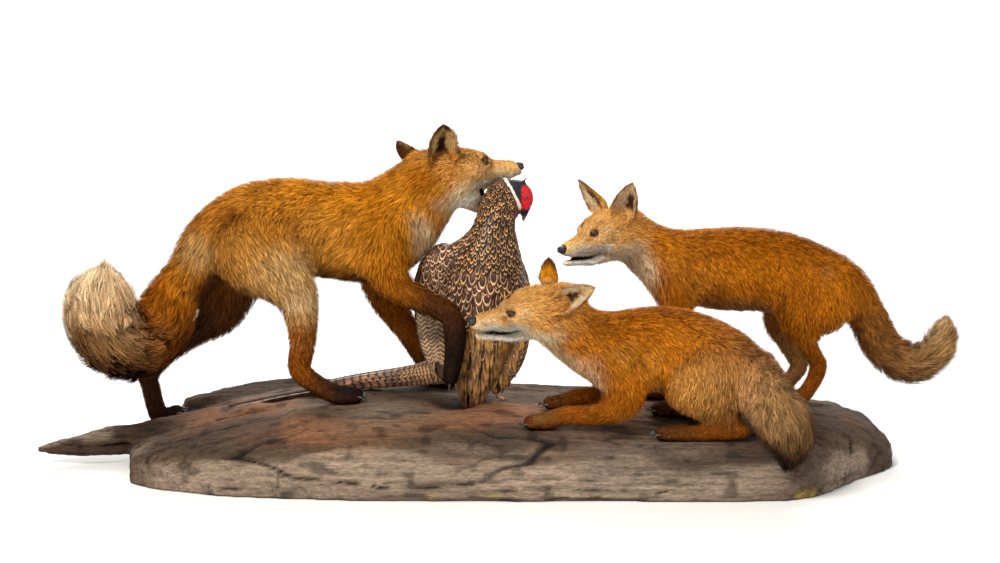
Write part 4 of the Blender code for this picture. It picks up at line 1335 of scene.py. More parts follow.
    def eyes(self) -> None:
        """Two glass eyes with a dark pupil and a brown iris."""
        rings, spokes = 30, 36
        polar, turn, tris = ball(rings, spokes)
        polar = np.pi * (polar / np.pi) ** 1.5
        bulge = 1.0 + 0.05 * np.exp(-((polar / 0.5) ** 2))[:, None, None]
        r = (polar[:, None] * np.ones(spokes)).ravel()
        oval = np.tile(np.abs(np.cos(turn)), rings)
        pupil = 1 - smooth(0.18, 0.30, r * (0.9 + 0.5 * oval))
        limbus = smooth(0.60, 0.72, r)
        fibre = 1 + 0.25 * np.tile(np.cos(turn * 17), rings)
        colour = IRIS * (fibre * (1 - pupil) * (1 - limbus))[:, None]
        colour = colour + PUPIL * pupil[:, None]
        colour = colour + LIMBUS * (limbus * (1 - pupil))[:, None]
        for side, name in ((1, "left"), (-1, "right")):
            looks, at = EYE_LOOKS * (1, side, 1), EYE_AT * (1, side, 1)
            helper = unit(np.cross(looks, UP))
            above = np.cross(helper, looks)
            way = (np.cos(polar)[:, None, None] * looks + np.sin(polar)[:, None, None]
                   * (np.cos(turn)[None, :, None] * helper + np.sin(turn)[None, :, None] * above))
            verts = self.on_head(at + (way * EYE_RADIUS * bulge).reshape(-1, 3))
            faces = outward(verts, tris, self.on_head(at))
            eye = mesh_object(f"{self.name}_eye_{name}", verts, faces, colour)
            unwrap(eye)
            placed(eye, "eye_glass", EYE_GLASS, *((f"eye_{name}",) if self.name == "adult" else ()))

    def nose(self) -> None:
        """The nose pad with two nostrils and a groove."""
        polar, turn, tris = ball(40, 48)
        way = np.stack([np.cos(polar)[:, None] * np.ones(len(turn)), np.sin(polar)[:, None] * np.cos(turn),
                        np.sin(polar)[:, None] * np.sin(turn)], axis=-1).reshape(-1, 3)
        grow = np.ones(len(way))
        for side in (1, -1):
            hole = np.array((0.80, 0.46 * side, 0.02))
            wing = np.array((0.45, 0.80 * side, -0.18))
            far, far_wing, rim = (np.linalg.norm((way - at) / radii, axis=1) for at, radii in (
                (hole, (0.55, 0.21, 0.17)), (wing, (0.5, 0.16, 0.10)), (hole, (0.6, 0.36, 0.32))))
            grow -= 0.42 * np.exp(-far**2 * 1.6) + 0.25 * np.exp(-far_wing**2 * 1.5)
            grow += 0.07 * np.exp(-(((rim - 1.0) / 0.3) ** 2))
        grow -= 0.10 * np.exp(-((way[:, 1] / 0.07) ** 2)) * smooth(0.35, -0.3, way[:, 2]) * (way[:, 0] > 0)
        grow *= np.where(way[:, 2] > 0, 0.95, 1.0)
        boxy = (way**4).sum(axis=1) ** -0.25
        shape = way * (0.55 + 0.45 * boxy * 0.92)[:, None]
        verts = self.on_head(NOSE_AT + shape * (NOSE_RADII * (1.06, 1.06, 1.05)) * grow[:, None])
        pad = mesh_object(self.name + "_nose_pad", verts, outward(verts, tris, self.on_head(NOSE_AT)))
        unwrap(pad)
        placed(pad, "nose_leather", NOSE_LEATHER, *(("nose",) if self.name == "adult" else ()))

    def whiskers(self) -> None:
        """Stiff tapering whiskers in rows on both lips."""
        rng = np.random.default_rng(7)
        shells = []
        for side in (1, -1):
            for k in range(11):
                row, step = k % 3, k // 3
                at = np.array((0.126 - 0.009 * step, side * (0.0135 + 0.001 * step), -0.001 - 0.0040 * row))
                out = (-0.75 - 0.10 * rng.random(), side * (0.62 + 0.3 * rng.random()), -0.10 - 0.16 * row)
                out = unit(np.array(out))
                size = (0.030 + 0.022 * rng.random()) * (1.0 - 0.1 * (step == 0))
                rows = []
                for t in (0.0, 0.35, 0.7, 1.0):
                    p = self.on_head(at + out * size * t + np.array((-0.10, 0.0, -0.16)) * size * t * t)
                    r = max(0.00034 * (1.0 - 0.85 * t), 0.00005)
                    rows.append((*p, r, r))
                shells.append(thread(np.array(rows)))
        hard_piece(self.name + "_whiskers", shells, self.slot, WHISKER_HAIR)

    def teeth(self) -> None:
        """Teeth along both jaws of an open mouth."""
        shells = []
        for side in (1, -1):
            for x, size, wide in table(".101 .0045 .0026; .094 .005 .003; .087 .0052 .0034"):
                low = float(curve(SKULL, x, 2)) - self.lips
                half = float(curve(SKULL, x, 3)) * 0.52
                jx, _, jz = self.jaw_point(x - 0.006, float(curve(JAW, x, 1)))
                y = side * half * 0.78
                for root, end in (
                    ((x, side * half, low + 0.008), (x - 0.001, side * half, low + 0.0045 - size)),
                    ((jx, y, jz - 0.003), (jx + 0.003, y, jz - 0.001 + size * 0.8)),
                ):
                    a, b = self.on_head(root), self.on_head(end)
                    rows = [(*(a * (1 - t) + b * t), r, r) for t, r in (
                        (0.0, wide / 2), (0.4, wide * 0.42), (0.85, wide * 0.18), (1.0, 0.0003))]
                    shells.append(loft(rows, tuple(self.turn[:, 1]), 8, 2))
        hard_piece(self.name + "_teeth", shells, self.slot, TOOTH_ENAMEL)

    def build(self) -> None:
        """Makes the skin, the coat and the small parts."""
        hide, names = self.hide()
        placed(hide.made(self.name + "_skin"), self.slot, self.underfur, *self.nodes)
        for tufting in self.tuftings:
            placed(tufting.made(hide, names), self.slot, self.coat)
        self.eyes()
        self.nose()
        self.whiskers()
        self.claws()
        if self.gape > SHUT:
            self.teeth()


# Furs run from the tail's root to the nape, from the nape to the nose, and down each leg and the tail.
ADULT_FURS = {
    # the trunk's belly tones are partly the adult's own dark belly and partly painted shade under the body
    "trunk": furs("""
        RUSSET RUST COCOA .013 .0225; RUSSET GOLD COCOA .013 .0225; GOLD GOLD COCOA .012 .0203;
        AMBER GOLD COCOA .012 .0203; AMBER GOLD COCOA .012 .0203; AMBER GOLD UMBER .013 .0218;
        AMBER AMBER UMBER .013 .0225; RUSSET AMBER GREY .012 .021; RUSSET AMBER GREY .011 .0195"""),
    "neck": furs("RUSSET AMBER CREAM .012 .0195; RUSSET AMBER CREAM .01 .015"),
    "tail": furs("""
        RUSSET AMBER COCOA .016 .036 .0012; RUSSET RUSSET UMBER .024 .04 .0012;
        RUSSET RUSSET COCOA .03 .046 .0012; RUST UMBER COCOA .034 .05 .0012;
        UMBER FAWN COCOA .036 .052 .0012; FAWN BUFF UMBER .036 .054 .0012;
        CREAM CREAM BUFF .04 .056 .0012; CREAM CREAM CREAM .036 .06 .0011"""),
    "head": furs("""
        AMBER AMBER GOLD .008 .015; HONEY HONEY SAND .006 .011 .0008;
        HONEY PEACH PEACH .004 .0085 .0007; HONEY PEACH CREAM .0026 .006 .0006;
        HONEY HONEY CREAM .0016 .0045 .0005"""),
    "jaw": furs("""
        HONEY CREAM CREAM .007 .014; CREAM CREAM CREAM .004 .009 .0007;
        WHITE CREAM COCOA .0018 .0055 .0006"""),
    "hind": furs("""
        GOLD GOLD FAWN .012 .0203; GOLD BUFF FAWN .012 .0203; STRAW STRAW FAWN .009 .0188;
        RUST RUST UMBER .004 .011; UMBER RUST UMBER .0032 .009 .0008;
        COCOA UMBER COCOA .0028 .008 .0007; SOOT COCOA COCOA .0022 .0065 .0006;
        SOOT SOOT COCOA .0016 .0055 .0006"""),
    # the far hind leg, in darker tones than the near one: painted shade
    "hind_left": furs("""
        RUSSET RUST COCOA .012 .0203; UMBER COCOA COCOA .012 .0203; UMBER COCOA UMBER .01 .0188;
        UMBER COCOA RUST .006 .015; COCOA COCOA UMBER .0036 .01 .0008;
        COCOA COCOA COCOA .0028 .008 .0007; COCOA COCOA COCOA .0022 .0065 .0006;
        SOOT COCOA COCOA .0016 .0055 .0006"""),
    "fore": furs("""
        AMBER AMBER UMBER .012 .0203; RUSSET RUSSET UMBER .008 .0165; UMBER UMBER COCOA .005 .013;
        UMBER COCOA COCOA .0032 .009 .0008; COCOA SOOT COCOA .0024 .0065 .0006;
        COCOA SOOT SOOT .0016 .0055 .0006"""),
    # the far foreleg, in darker tones than the near one: painted shade
    "fore_left": furs("""
        RUSSET RUST UMBER .012 .0203; RUST RUST COCOA .008 .0165; UMBER RUST COCOA .005 .013;
        COCOA UMBER COCOA .0032 .009 .0008; COCOA COCOA COCOA .0024 .0065 .0006;
        SOOT COCOA SOOT .0016 .0055 .0006"""),
}
ADULT_PATCHES = (
    patches("""
    CREAM .8 .036 .04 -.022 .046 .026 .018; WHITE .85 .075 .026 -.022 .04 .018 .016;
    WHITE .85 .05 .026 -.046 .04 .024 .018; WHITE .9 .122 .014 -.012 .032 .012 .009;
    CREAM .5 .01 .05 -.045 .014 .02 .03; AMBER .6 .095 .02 .01 .014 .008 .005;
    SOOT .75 .091 .02 .013 .007 .006 .0022; WHITE .85 .147 0 -.01 .014 .018 .008""", True)
    + patches("RUSSET .8 -.067 -.05 .538 .036 .08 .028; UMBER .72 -.634 -.15 .262 .042 .08 .026")
    + patches("BLACK .95 .084 .016 -.036 .01 .01 .0035", True)
    + patches("""
    RUST .6 -.42 -.05 .478 .05 .06 .026; RUST .55 -.345 -.01 .525 .04 .05 .018;
    UMBER .6 -.244 -.01 .524 .024 .04 .012; RUSSET .45 -.335 -.085 .445 .03 .04 .016;
    STRAW .75 -.3 -.1 .388 .08 .06 .05; STRAW .75 -.47 -.03 .408 .042 .09 .038;
    CREAM .35 -.285 -.085 .325 .05 .05 .025; RUST .85 -.285 -.06 .266 .045 .07 .024;
    AMBER .5 -.2 -.1 .415 .06 .06 .05; CREAM .45 -.238 -.07 .35 .012 .05 .04;
    UMBER .75 -.544 -.02 .351 .034 .04 .01; SAND .55 -.49 -.04 .32 .02 .05 .04;
    CREAM .7 -.074 -.02 .443 .03 .06 .05; COCOA .85 -.6 -.1 .2 .06 .11 .034;
    RUSSET .4 -.075 -.105 .4 .03 .06 .04""")
)
YOUNG_FURS = {
    "trunk": furs("""
        RUSSET RUSSET FAWN .009 .015; RUSSET ORANGE FAWN .009 .015; RUSSET ORANGE FAWN .008 .0142;
        RUSSET ORANGE FAWN .008 .0142; RUSSET RUSSET BUFF .008 .0142; RUSSET RUSSET CREAM .009 .0158;
        ORANGE ORANGE CREAM .009 .0158"""),
    "neck": furs("ORANGE ORANGE CREAM .009 .0158; ORANGE AMBER CREAM .008 .017"),
    "head": furs("""
        ORANGE ORANGE CREAM .006 .012 .0008; HONEY HONEY CREAM .005 .0095 .0007;
        HONEY PEACH WHITE .0034 .0075 .0006; HONEY PEACH WHITE .0022 .0055 .0006;
        HONEY PEACH WHITE .0014 .0042 .0005"""),
    "jaw": furs("""
        CREAM WHITE WHITE .006 .013 .0008; WHITE WHITE WHITE .0036 .008 .0006;
        WHITE CREAM WHITE .0016 .005 .0005"""),
    "hind": furs("""
        ORANGE ORANGE FAWN .008 .0142; ORANGE ORANGE FAWN .008 .0142; ORANGE RUSSET BUFF .006 .015;
        RUSSET RUST BUFF .0036 .01 .0008; RUSSET RUST RUST .0028 .008 .0007;
        RUST RUST UMBER .0022 .007 .0006; UMBER UMBER COCOA .0018 .006 .0006;
        UMBER COCOA COCOA .0014 .005 .0006"""),
    "fore": furs("""
        RUSSET ORANGE BUFF .008 .0142; RUSSET RUSSET BUFF .006 .016; RUSSET RUST RUST .004 .011 .0008;
        RUST RUST UMBER .0026 .008 .0007; UMBER UMBER COCOA .0018 .006 .0006;
        UMBER UMBER COCOA .0014 .005 .0006"""),
}
CROUCHING_TAIL = furs("""
    BUFF STRAW RUST .012 .024; CREAM CREAM BUFF .018 .028; STRAW CREAM BUFF .022 .03;
    BUFF BUFF FAWN .024 .032; COCOA UMBER COCOA .022 .032; SOOT SOOT SOOT .018 .028;
    SOOT SOOT SOOT .012 .024""")
STANDING_TAIL = furs("""
    RUSSET RUST RUST .012 .024; RUST UMBER UMBER .018 .028; COCOA FAWN UMBER .02 .03;
    FAWN FAWN COCOA .021 .03; BUFF FAWN UMBER .022 .031; STRAW STRAW FAWN .023 .031;
    CREAM STRAW STRAW .02 .03""")
STANDING_FAR_LEG = furs("""
    ORANGE ORANGE FAWN .008 .019; BUFF BUFF FAWN .007 .017; BUFF BUFF STRAW .005 .013;
    BUFF FAWN STRAW .0034 .01 .0008; FAWN FAWN BUFF .0028 .008 .0007; FAWN FAWN FAWN .0022 .007 .0006;
    FAWN FAWN UMBER .0018 .006 .0006; UMBER UMBER COCOA .0014 .005 .0006""")
YOUNG_PATCHES = patches("""
    CREAM .9 .02 .044 -.026 .05 .024 .018; WHITE .95 .072 .028 -.014 .036 .016 .014;
    WHITE .9 .12 .014 -.008 .034 .01 .008; AMBER .7 .096 .018 .008 .018 .01 .006;
    SOOT .75 .09 .02 .013 .006 .006 .0022; PEACH .6 .058 .034 .022 .014 .01 .01;
    CREAM .5 .125 .014 .006 .026 .01 .006; CREAM .8 0 0 -.075 .075 .045 .045;
    WHITE .9 .105 .012 -.04 .05 .014 .012""", True)
# In the crouching fox's own patches, COCOA at .352 is painted shade in the crease before the haunch and SAND
# at .376 a painted highlight on the haunch's front; the thin UMBER strips at .466 and .5 are painted shade
# along the tail's left and top edges.
CROUCHING_PATCHES = YOUNG_PATCHES + patches("""
    SAND .7 .425 -.19 .205 .06 .08 .06; GOLD .55 .33 -.19 .235 .03 .06 .04;
    CREAM .6 .23 -.19 .205 .026 .06 .05; COCOA .9 .352 -.2 .182 .01 .07 .05;
    SAND .6 .376 -.2 .195 .014 .07 .05; UMBER .85 .466 -.215 .19 .008 .07 .05;
    UMBER .5 .5 -.19 .256 .036 .06 .008; GOLD .75 .286 -.18 .25 .036 .08 .026;
    ORANGE .7 .18 -.19 .28 .024 .07 .024; BUFF .18 .145 -.17 .138 .03 .04 .014;
    SOOT .9 .562 -.24 .102 .045 .08 .034; UMBER .45 .392 -.205 .246 .05 .06 .012;
    COCOA .6 .33 -.18 .148 .04 .06 .014; RUST .5 .3 -.2 .25 .016 .06 .04;
    RUST .35 .36 -.11 .33 .16 .06 .03; RUST .45 .5 -.11 .27 .06 .06 .04""")
STANDING_PATCHES = YOUNG_PATCHES + patches("""
    CREAM .8 .33 .08 .35 .03 .07 .06; GOLD .45 .43 .05 .33 .04 .05 .05;
    AMBER .6 .375 .08 .385 .03 .06 .03; SAND .45 .665 .05 .345 .03 .06 .018;
    RUST .35 .626 .06 .312 .034 .06 .03; ORANGE .85 .356 .075 .397 .032 .08 .032;
    ORANGE .4 .56 .13 .42 .2 .06 .02; RUST .5 .59 .06 .29 .012 .06 .05;
    RUST .4 .455 .05 .29 .016 .06 .05""")


def tuftings(name: str, seed: int, *pieces: tuple) -> tuple:
    """A fox's pieces of coat, each given as its name, parts, tufts and, if need be, clump and ragged."""
    return tuple(Tufting(f"{name}_coat_{piece}", tuple(parts.split()), tufts, seed + k, *rest)
                 for k, (piece, parts, tufts, *rest) in enumerate(pieces))


def adult() -> Fox:
    """The adult, its jaws on the bird."""
    return Fox(
        name="adult", size=1.0, faces=1.0, head_at=(-0.0430, 0.0010, 0.5385), head_turn=(21.0, 0.5, -3.0),
        head_size=1.03, gape=23.0, lips=0.0055,
        spine=table("""
            -.518 .04 .322 .041; -.453 .035 .401 .062; -.383 .03 .439 .079; -.31 .025 .442 .088;
            -.238 .02 .434 .089; -.175 .02 .43 .094; -.126 .02 .448 .09; -.079 .018 .495 .074;
            -.052 .01 .52 .064"""),
        legs={
            "hind_right": table("""
                -.4 -.034 .425; -.345 -.05 .391; -.294 -.056 .33; -.285 -.05 .245; -.291 -.048 .192;
                -.256 -.048 .161; -.224 -.05 -; -.192 -.052 -"""),
            "hind_left": table("""
                -.44 .09 .365; -.446 .104 .306; -.452 .108 .256; -.508 .105 .214; -.577 .095 .16;
                -.575 .085 .11; -.56 .08 -; -.532 .076 -"""),
            "fore_right": table("""
                -.138 -.04 .445; -.124 -.058 .357; -.074 -.07 .327; -.02 -.08 .298; -.012 -.082 .245;
                -.02 -.082 .186"""),
            "fore_left": table("""
                -.155 .08 .41; -.148 .088 .308; -.108 .085 .243; -.076 .08 .188; -.056 .078 -;
                -.026 .075 -"""),
        },
        tail=table("""
            -.498 .038 .345 .042; -.524 .034 .312 .054; -.544 .006 .27 .062; -.572 -.042 .236 .066;
            -.606 -.09 .246 .068; -.629 -.112 .28 .071; -.637 -.115 .314 .072; -.634 -.113 .336 .069"""),
        ears=(Ear((-0.003, -0.040, 0.022), (-0.08, -0.30, 0.94), (-0.05, -0.98, 0.10), 0.074, 0.0242, 3.0,
                  1.04, 0.26, 0.05),
              Ear((-0.008, 0.040, 0.022), (-0.44, 0.72, 0.26), (0.62, 0.20, 0.75), 0.064, 0.029, 5.0, 0.8)),
        ear_colours=EarColours(Tone.UMBER, Tone.COCOA, Tone.FAWN, Tone.STRAW, Tone.SOOT, Tone.COCOA,
                               Tone.GOLD),
        furs=ADULT_FURS, patches=ADULT_PATCHES,
        nodes=("head", "lower_jaw", "neck", "trunk", "tail", "foreleg_right", "foreleg_left",
               "hind_leg_right", "hind_leg_left", "ear_right", "ear_left"),
        slot="adult_fur", coat=ADULT_COAT, underfur=ADULT_SKIN,
        fillers=(table(".04 .014 -.04 .018 .022; .062 .013 -.042 .015 .019; .078 .011 -.044 .01 .013"),),
        tuftings=tuftings("adult", 1, ("body", "trunk neck", 58500), ("head", "head jaw ears", 40000, 0.15),
                          ("hind", "hind_right hind_left", 42000), ("fore", "fore_right fore_left", 26000),
                          ("tail", "tail", 45000, 0.70, 0.95)),
    )


def young(**own: object) -> Fox:
    """A young fox: what both have in common, with what each has of its own."""
    colours = EarColours(Tone.AMBER, Tone.UMBER, Tone.FAWN, Tone.CREAM, Tone.COCOA, Tone.STRAW, Tone.HONEY)
    return Fox(slot="young_fur", coat=YOUNG_COAT, underfur=YOUNG_SKIN, ear_colours=colours, **own)


LEGS = "hind_right hind_left fore_right fore_left"


def crouching() -> Fox:
    """The young fox that crouches in front."""
    return young(
        name="crouching", size=0.88, head_at=(0.1578, -0.158, 0.3305), head_turn=(6.0, -10.0, -21.0),
        head_size=0.925, gape=1.5, lips=0.006,
        spine=table("""
            .54 -.11 .203 .032; .508 -.11 .207 .051; .46 -.11 .226 .062; .404 -.11 .243 .071;
            .342 -.112 .245 .078; .283 -.116 .243 .074; .24 -.125 .254 .064; .202 -.138 .276 .056;
            .176 -.15 .298 .052"""),
        legs={
            "hind_left": table("""
                .478 -.15 .215; .43 -.168 .195; .39 -.17 .178; .446 -.165 .141; .5 -.16 .112;
                .448 -.162 -; .395 -.165 -; .352 -.166 -"""),
            "hind_right": table("""
                .48 -.07 .215; .43 -.052 .195; .39 -.05 .178; .446 -.052 .145; .5 -.05 .122;
                .448 -.05 -; .395 -.048 -; .352 -.047 -"""),
            "fore_left": table("""
                .256 -.155 .25; .294 -.168 .168; .243 -.165 .142; .187 -.16 .137; .15 -.158 -;
                .122 -.158 -"""),
            "fore_right": table("""
                .256 -.082 .25; .29 -.072 .172; .25 -.066 .152; .212 -.062 .146; .184 -.06 -;
                .158 -.058 -"""),
        },
        tail=table("""
            .516 -.12 .214 .038; .524 -.156 .206 .044; .536 -.192 .178 .051; .558 -.218 .142 .054;
            .572 -.232 .108 .044; .562 -.238 .076 .02"""),
        ears=(Ear((-0.008, 0.040, 0.032), (-0.90, 0.20, 0.40), (0.25, 0.62, 0.74), 0.079, 0.026, 2.0,
                  0.95, 0.30, -0.25),
              Ear((-0.002, -0.034, 0.034), (-0.22, -0.36, 0.86), (0.20, -0.95, 0.25), 0.047, 0.020, 2.0)),
        furs=YOUNG_FURS | {"tail": CROUCHING_TAIL}, patches=CROUCHING_PATCHES, nodes=("young_fox_crouching",),
        tuftings=tuftings("crouching", 11, ("body", "trunk neck", 44500),
                          ("head", "head jaw ears", 30000, 0.15),
                          ("legs", LEGS, 32000), ("tail", "tail", 22000, 0.35, 0.45)),
    )


def standing() -> Fox:
    """The young fox that stands at the back."""
    return young(
        name="standing", size=0.86, head_at=(0.2800, 0.100, 0.4190), head_turn=(41.0, -10.0, -1.0),
        head_size=0.895, gape=0.5, lips=0.003,
        spine=table("""
            .742 .13 .288 .035; .707 .13 .3 .058; .646 .13 .315 .073; .577 .13 .335 .078;
            .512 .13 .339 .08; .447 .13 .341 .076; .396 .13 .35 .066; .35 .125 .37 .056;
            .318 .118 .396 .048"""),
        legs={
            "hind_left": table("""
                .684 .098 .31; .646 .082 .28; .612 .078 .25; .634 .076 .208; .655 .08 .168;
                .64 .08 .126; .622 .08 -; .594 .079 -"""),
            "hind_right": table("""
                .684 .162 .305; .634 .18 .265; .592 .184 .23; .61 .184 .185; .632 .182 .145;
                .614 .182 .114; .596 .181 -; .568 .18 -"""),
            "fore_left": table("""
                .38 .092 .335; .395 .08 .265; .388 .078 .205; .38 .076 .15; .37 .076 -; .344 .075 -"""),
            "fore_right": table("""
                .38 .168 .335; .395 .18 .265; .388 .18 .205; .38 .178 .15; .37 .176 -; .344 .175 -"""),
        },
        tail=table("""
            .73 .13 .29 .032; .753 .13 .245 .04; .782 .128 .19 .042; .824 .12 .16 .041;
            .864 .11 .176 .04; .884 .103 .208 .037; .886 .101 .232 .03"""),
        ears=(Ear((0.014, 0.036, 0.036), (-0.20, 0.34, 0.92), (0.80, 0.58, 0.10), 0.080, 0.026, 2.0,
                  1.0, 0.34, 0.25),
              Ear((0.010, -0.036, 0.036), (0.06, -0.56, 0.82), (0.95, -0.15, 0.10), 0.076, 0.023, 1.9,
                  1.0, 0.24, -0.10)),
        furs=YOUNG_FURS | {"tail": STANDING_TAIL, "hind_right": STANDING_FAR_LEG}, patches=STANDING_PATCHES,
        nodes=("young_fox_standing",),
        tuftings=tuftings("standing", 21, ("body", "trunk neck", 45000),
                          ("head", "head jaw ears", 28000, 0.15),
                          ("legs", LEGS, 32000), ("tail", "tail", 21000, 0.45, 0.6)),
    )


# ---- The pheasant ----


@dataclass(frozen=True)
class VaneFinish(Finish):
    """A feather's pattern, laid out across and along its vane by the "Vane" map."""

    scallop: tuple = ()  # colours from the middle of the vane to its edge: place, red, green, blue
    bars: float = 0.0  # how many bars cross the vane
    bar: tuple = (0.02, 0.014, 0.01)
    slant: float = 0.0
    thin: float = 0.0  # over this the bar shows, from -1 to 1

    def dress(self, tree: Tree) -> dict:
        """Scallops by the distance from the edge, bars by the distance along."""
        vane = self.add(tree, "UVMap", {}, "UV", uv_map="Vane")
        across, along = (self.add(tree, "SeparateXYZ", {"Vector": vane}, axis) for axis in "XY")
        across = self.math(tree, "ABSOLUTE", self.math(tree, "SUBTRACT", across, 0.5))
        across = self.math(tree, "MULTIPLY", across, 2.0)
        tip = self.add(tree, "MapRange", {"Value": along, "From Min": 0.25})
        powers = (self.math(tree, "POWER", way, 3.0) for way in (across, tip))
        edge = self.math(tree, "POWER", self.math(tree, "ADD", *powers), 1 / 3.0)
        wobble = self.math(tree, "MULTIPLY_ADD", self.noise(tree, 260.0, 2.0), 0.22, -0.11)
        colour = self.ramp(tree, self.math(tree, "ADD", edge, wobble), *self.scallop)
        if self.bars:
            lean = self.math(tree, "MULTIPLY_ADD", across, self.slant, along)
            wave = self.math(tree, "COSINE", self.math(tree, "MULTIPLY", lean, self.bars * 2 * math.pi))
            band = self.add(tree, "MapRange", {"Value": wave, "From Min": self.thin - 0.25,
                                               "From Max": self.thin + 0.25})
            colour = self.mix(tree, band, colour, (*self.bar, 1.0), "MIX")
        spots = self.ramp(tree, self.noise(tree, 60.0, 4.0),
                          (0.38, 0.36, 0.30, 0.26), (0.60, 1.30, 1.20, 1.08))
        barbs = self.ramp(tree, self.noise(tree, 700.0), (0.3, 0.72), (0.7, 1.25))
        return {"Base Color": self.mix(tree, 0.8, self.mix(tree, 0.75, colour, spots), barbs),
                "Specular IOR Level": 0.3, "Sheen Weight": 0.1,
                "Normal": self.bump(tree, across, 0.25, 0.001)}


NECK_VANES = VaneFinish("neck_feathers", 0.48, table("""
    0 .016 .008 .006; .42 .03 .012 .007; .52 .42 .2 .05; .62 .66 .4 .14; .68 .24 .085 .02;
    .76 .01 .006 .005; 1 .008 .006 .005"""))
MANTLE_VANES = VaneFinish("mantle_feathers", 0.50, table("""
    0 .17 .07 .028; .3 .085 .034 .016; .6 .026 .012 .008; .67 .74 .55 .34; .75 .6 .4 .21;
    .8 .17 .05 .018; 1 .085 .03 .014"""))
FLANK_VANES = VaneFinish("flank_feathers", 0.55, table("""
    0 .03 .014 .007; .25 .2 .095 .028; .65 .46 .245 .07; 1 .09 .038 .014"""))
MAROON_VANES = VaneFinish("maroon_feathers", 0.45, table("""
    0 .12 .022 .012; .6 .19 .034 .016; .85 .06 .016 .012; 1 .018 .01 .01"""))
WING_VANES = VaneFinish("wing_feathers", 0.5, table("""
    0 .085 .045 .026; .08 .2 .115 .06; .9 .15 .08 .042; 1 .3 .19 .11"""),
    bars=17.0, bar=(0.56, 0.40, 0.25), slant=0.05, thin=0.35)
TAIL_VANES = VaneFinish("tail_feathers", 0.5, table("""
    0 .1 .055 .03; .1 .33 .19 .085; .7 .4 .235 .11; 1 .22 .09 .045"""),
    bars=24.0, bar=(0.022, 0.014, 0.010), slant=-0.008, thin=0.45)
BIRD_SKIN = PaintedFinish("bird_skin", 0.55)
BIRD_EYE = SmoothFinish("bird_eye", 0.1, (0.02, 0.012, 0.008), (0.04, 0.02, 0.01), 200.0, 0.00002, 1.0)
ALONG_X = (1, 0, 0)
ALONG_Y = (0, 1, 0)


class Plumage(Enum):
    """The colours of the bird's skin, linear."""

    BODY = (0.060, 0.028, 0.014)
    HEAD = (0.008, 0.010, 0.011)
    FACE = (0.50, 0.005, 0.014)
    BEAK = (0.10, 0.075, 0.050)
    COLLAR = (0.80, 0.74, 0.62)


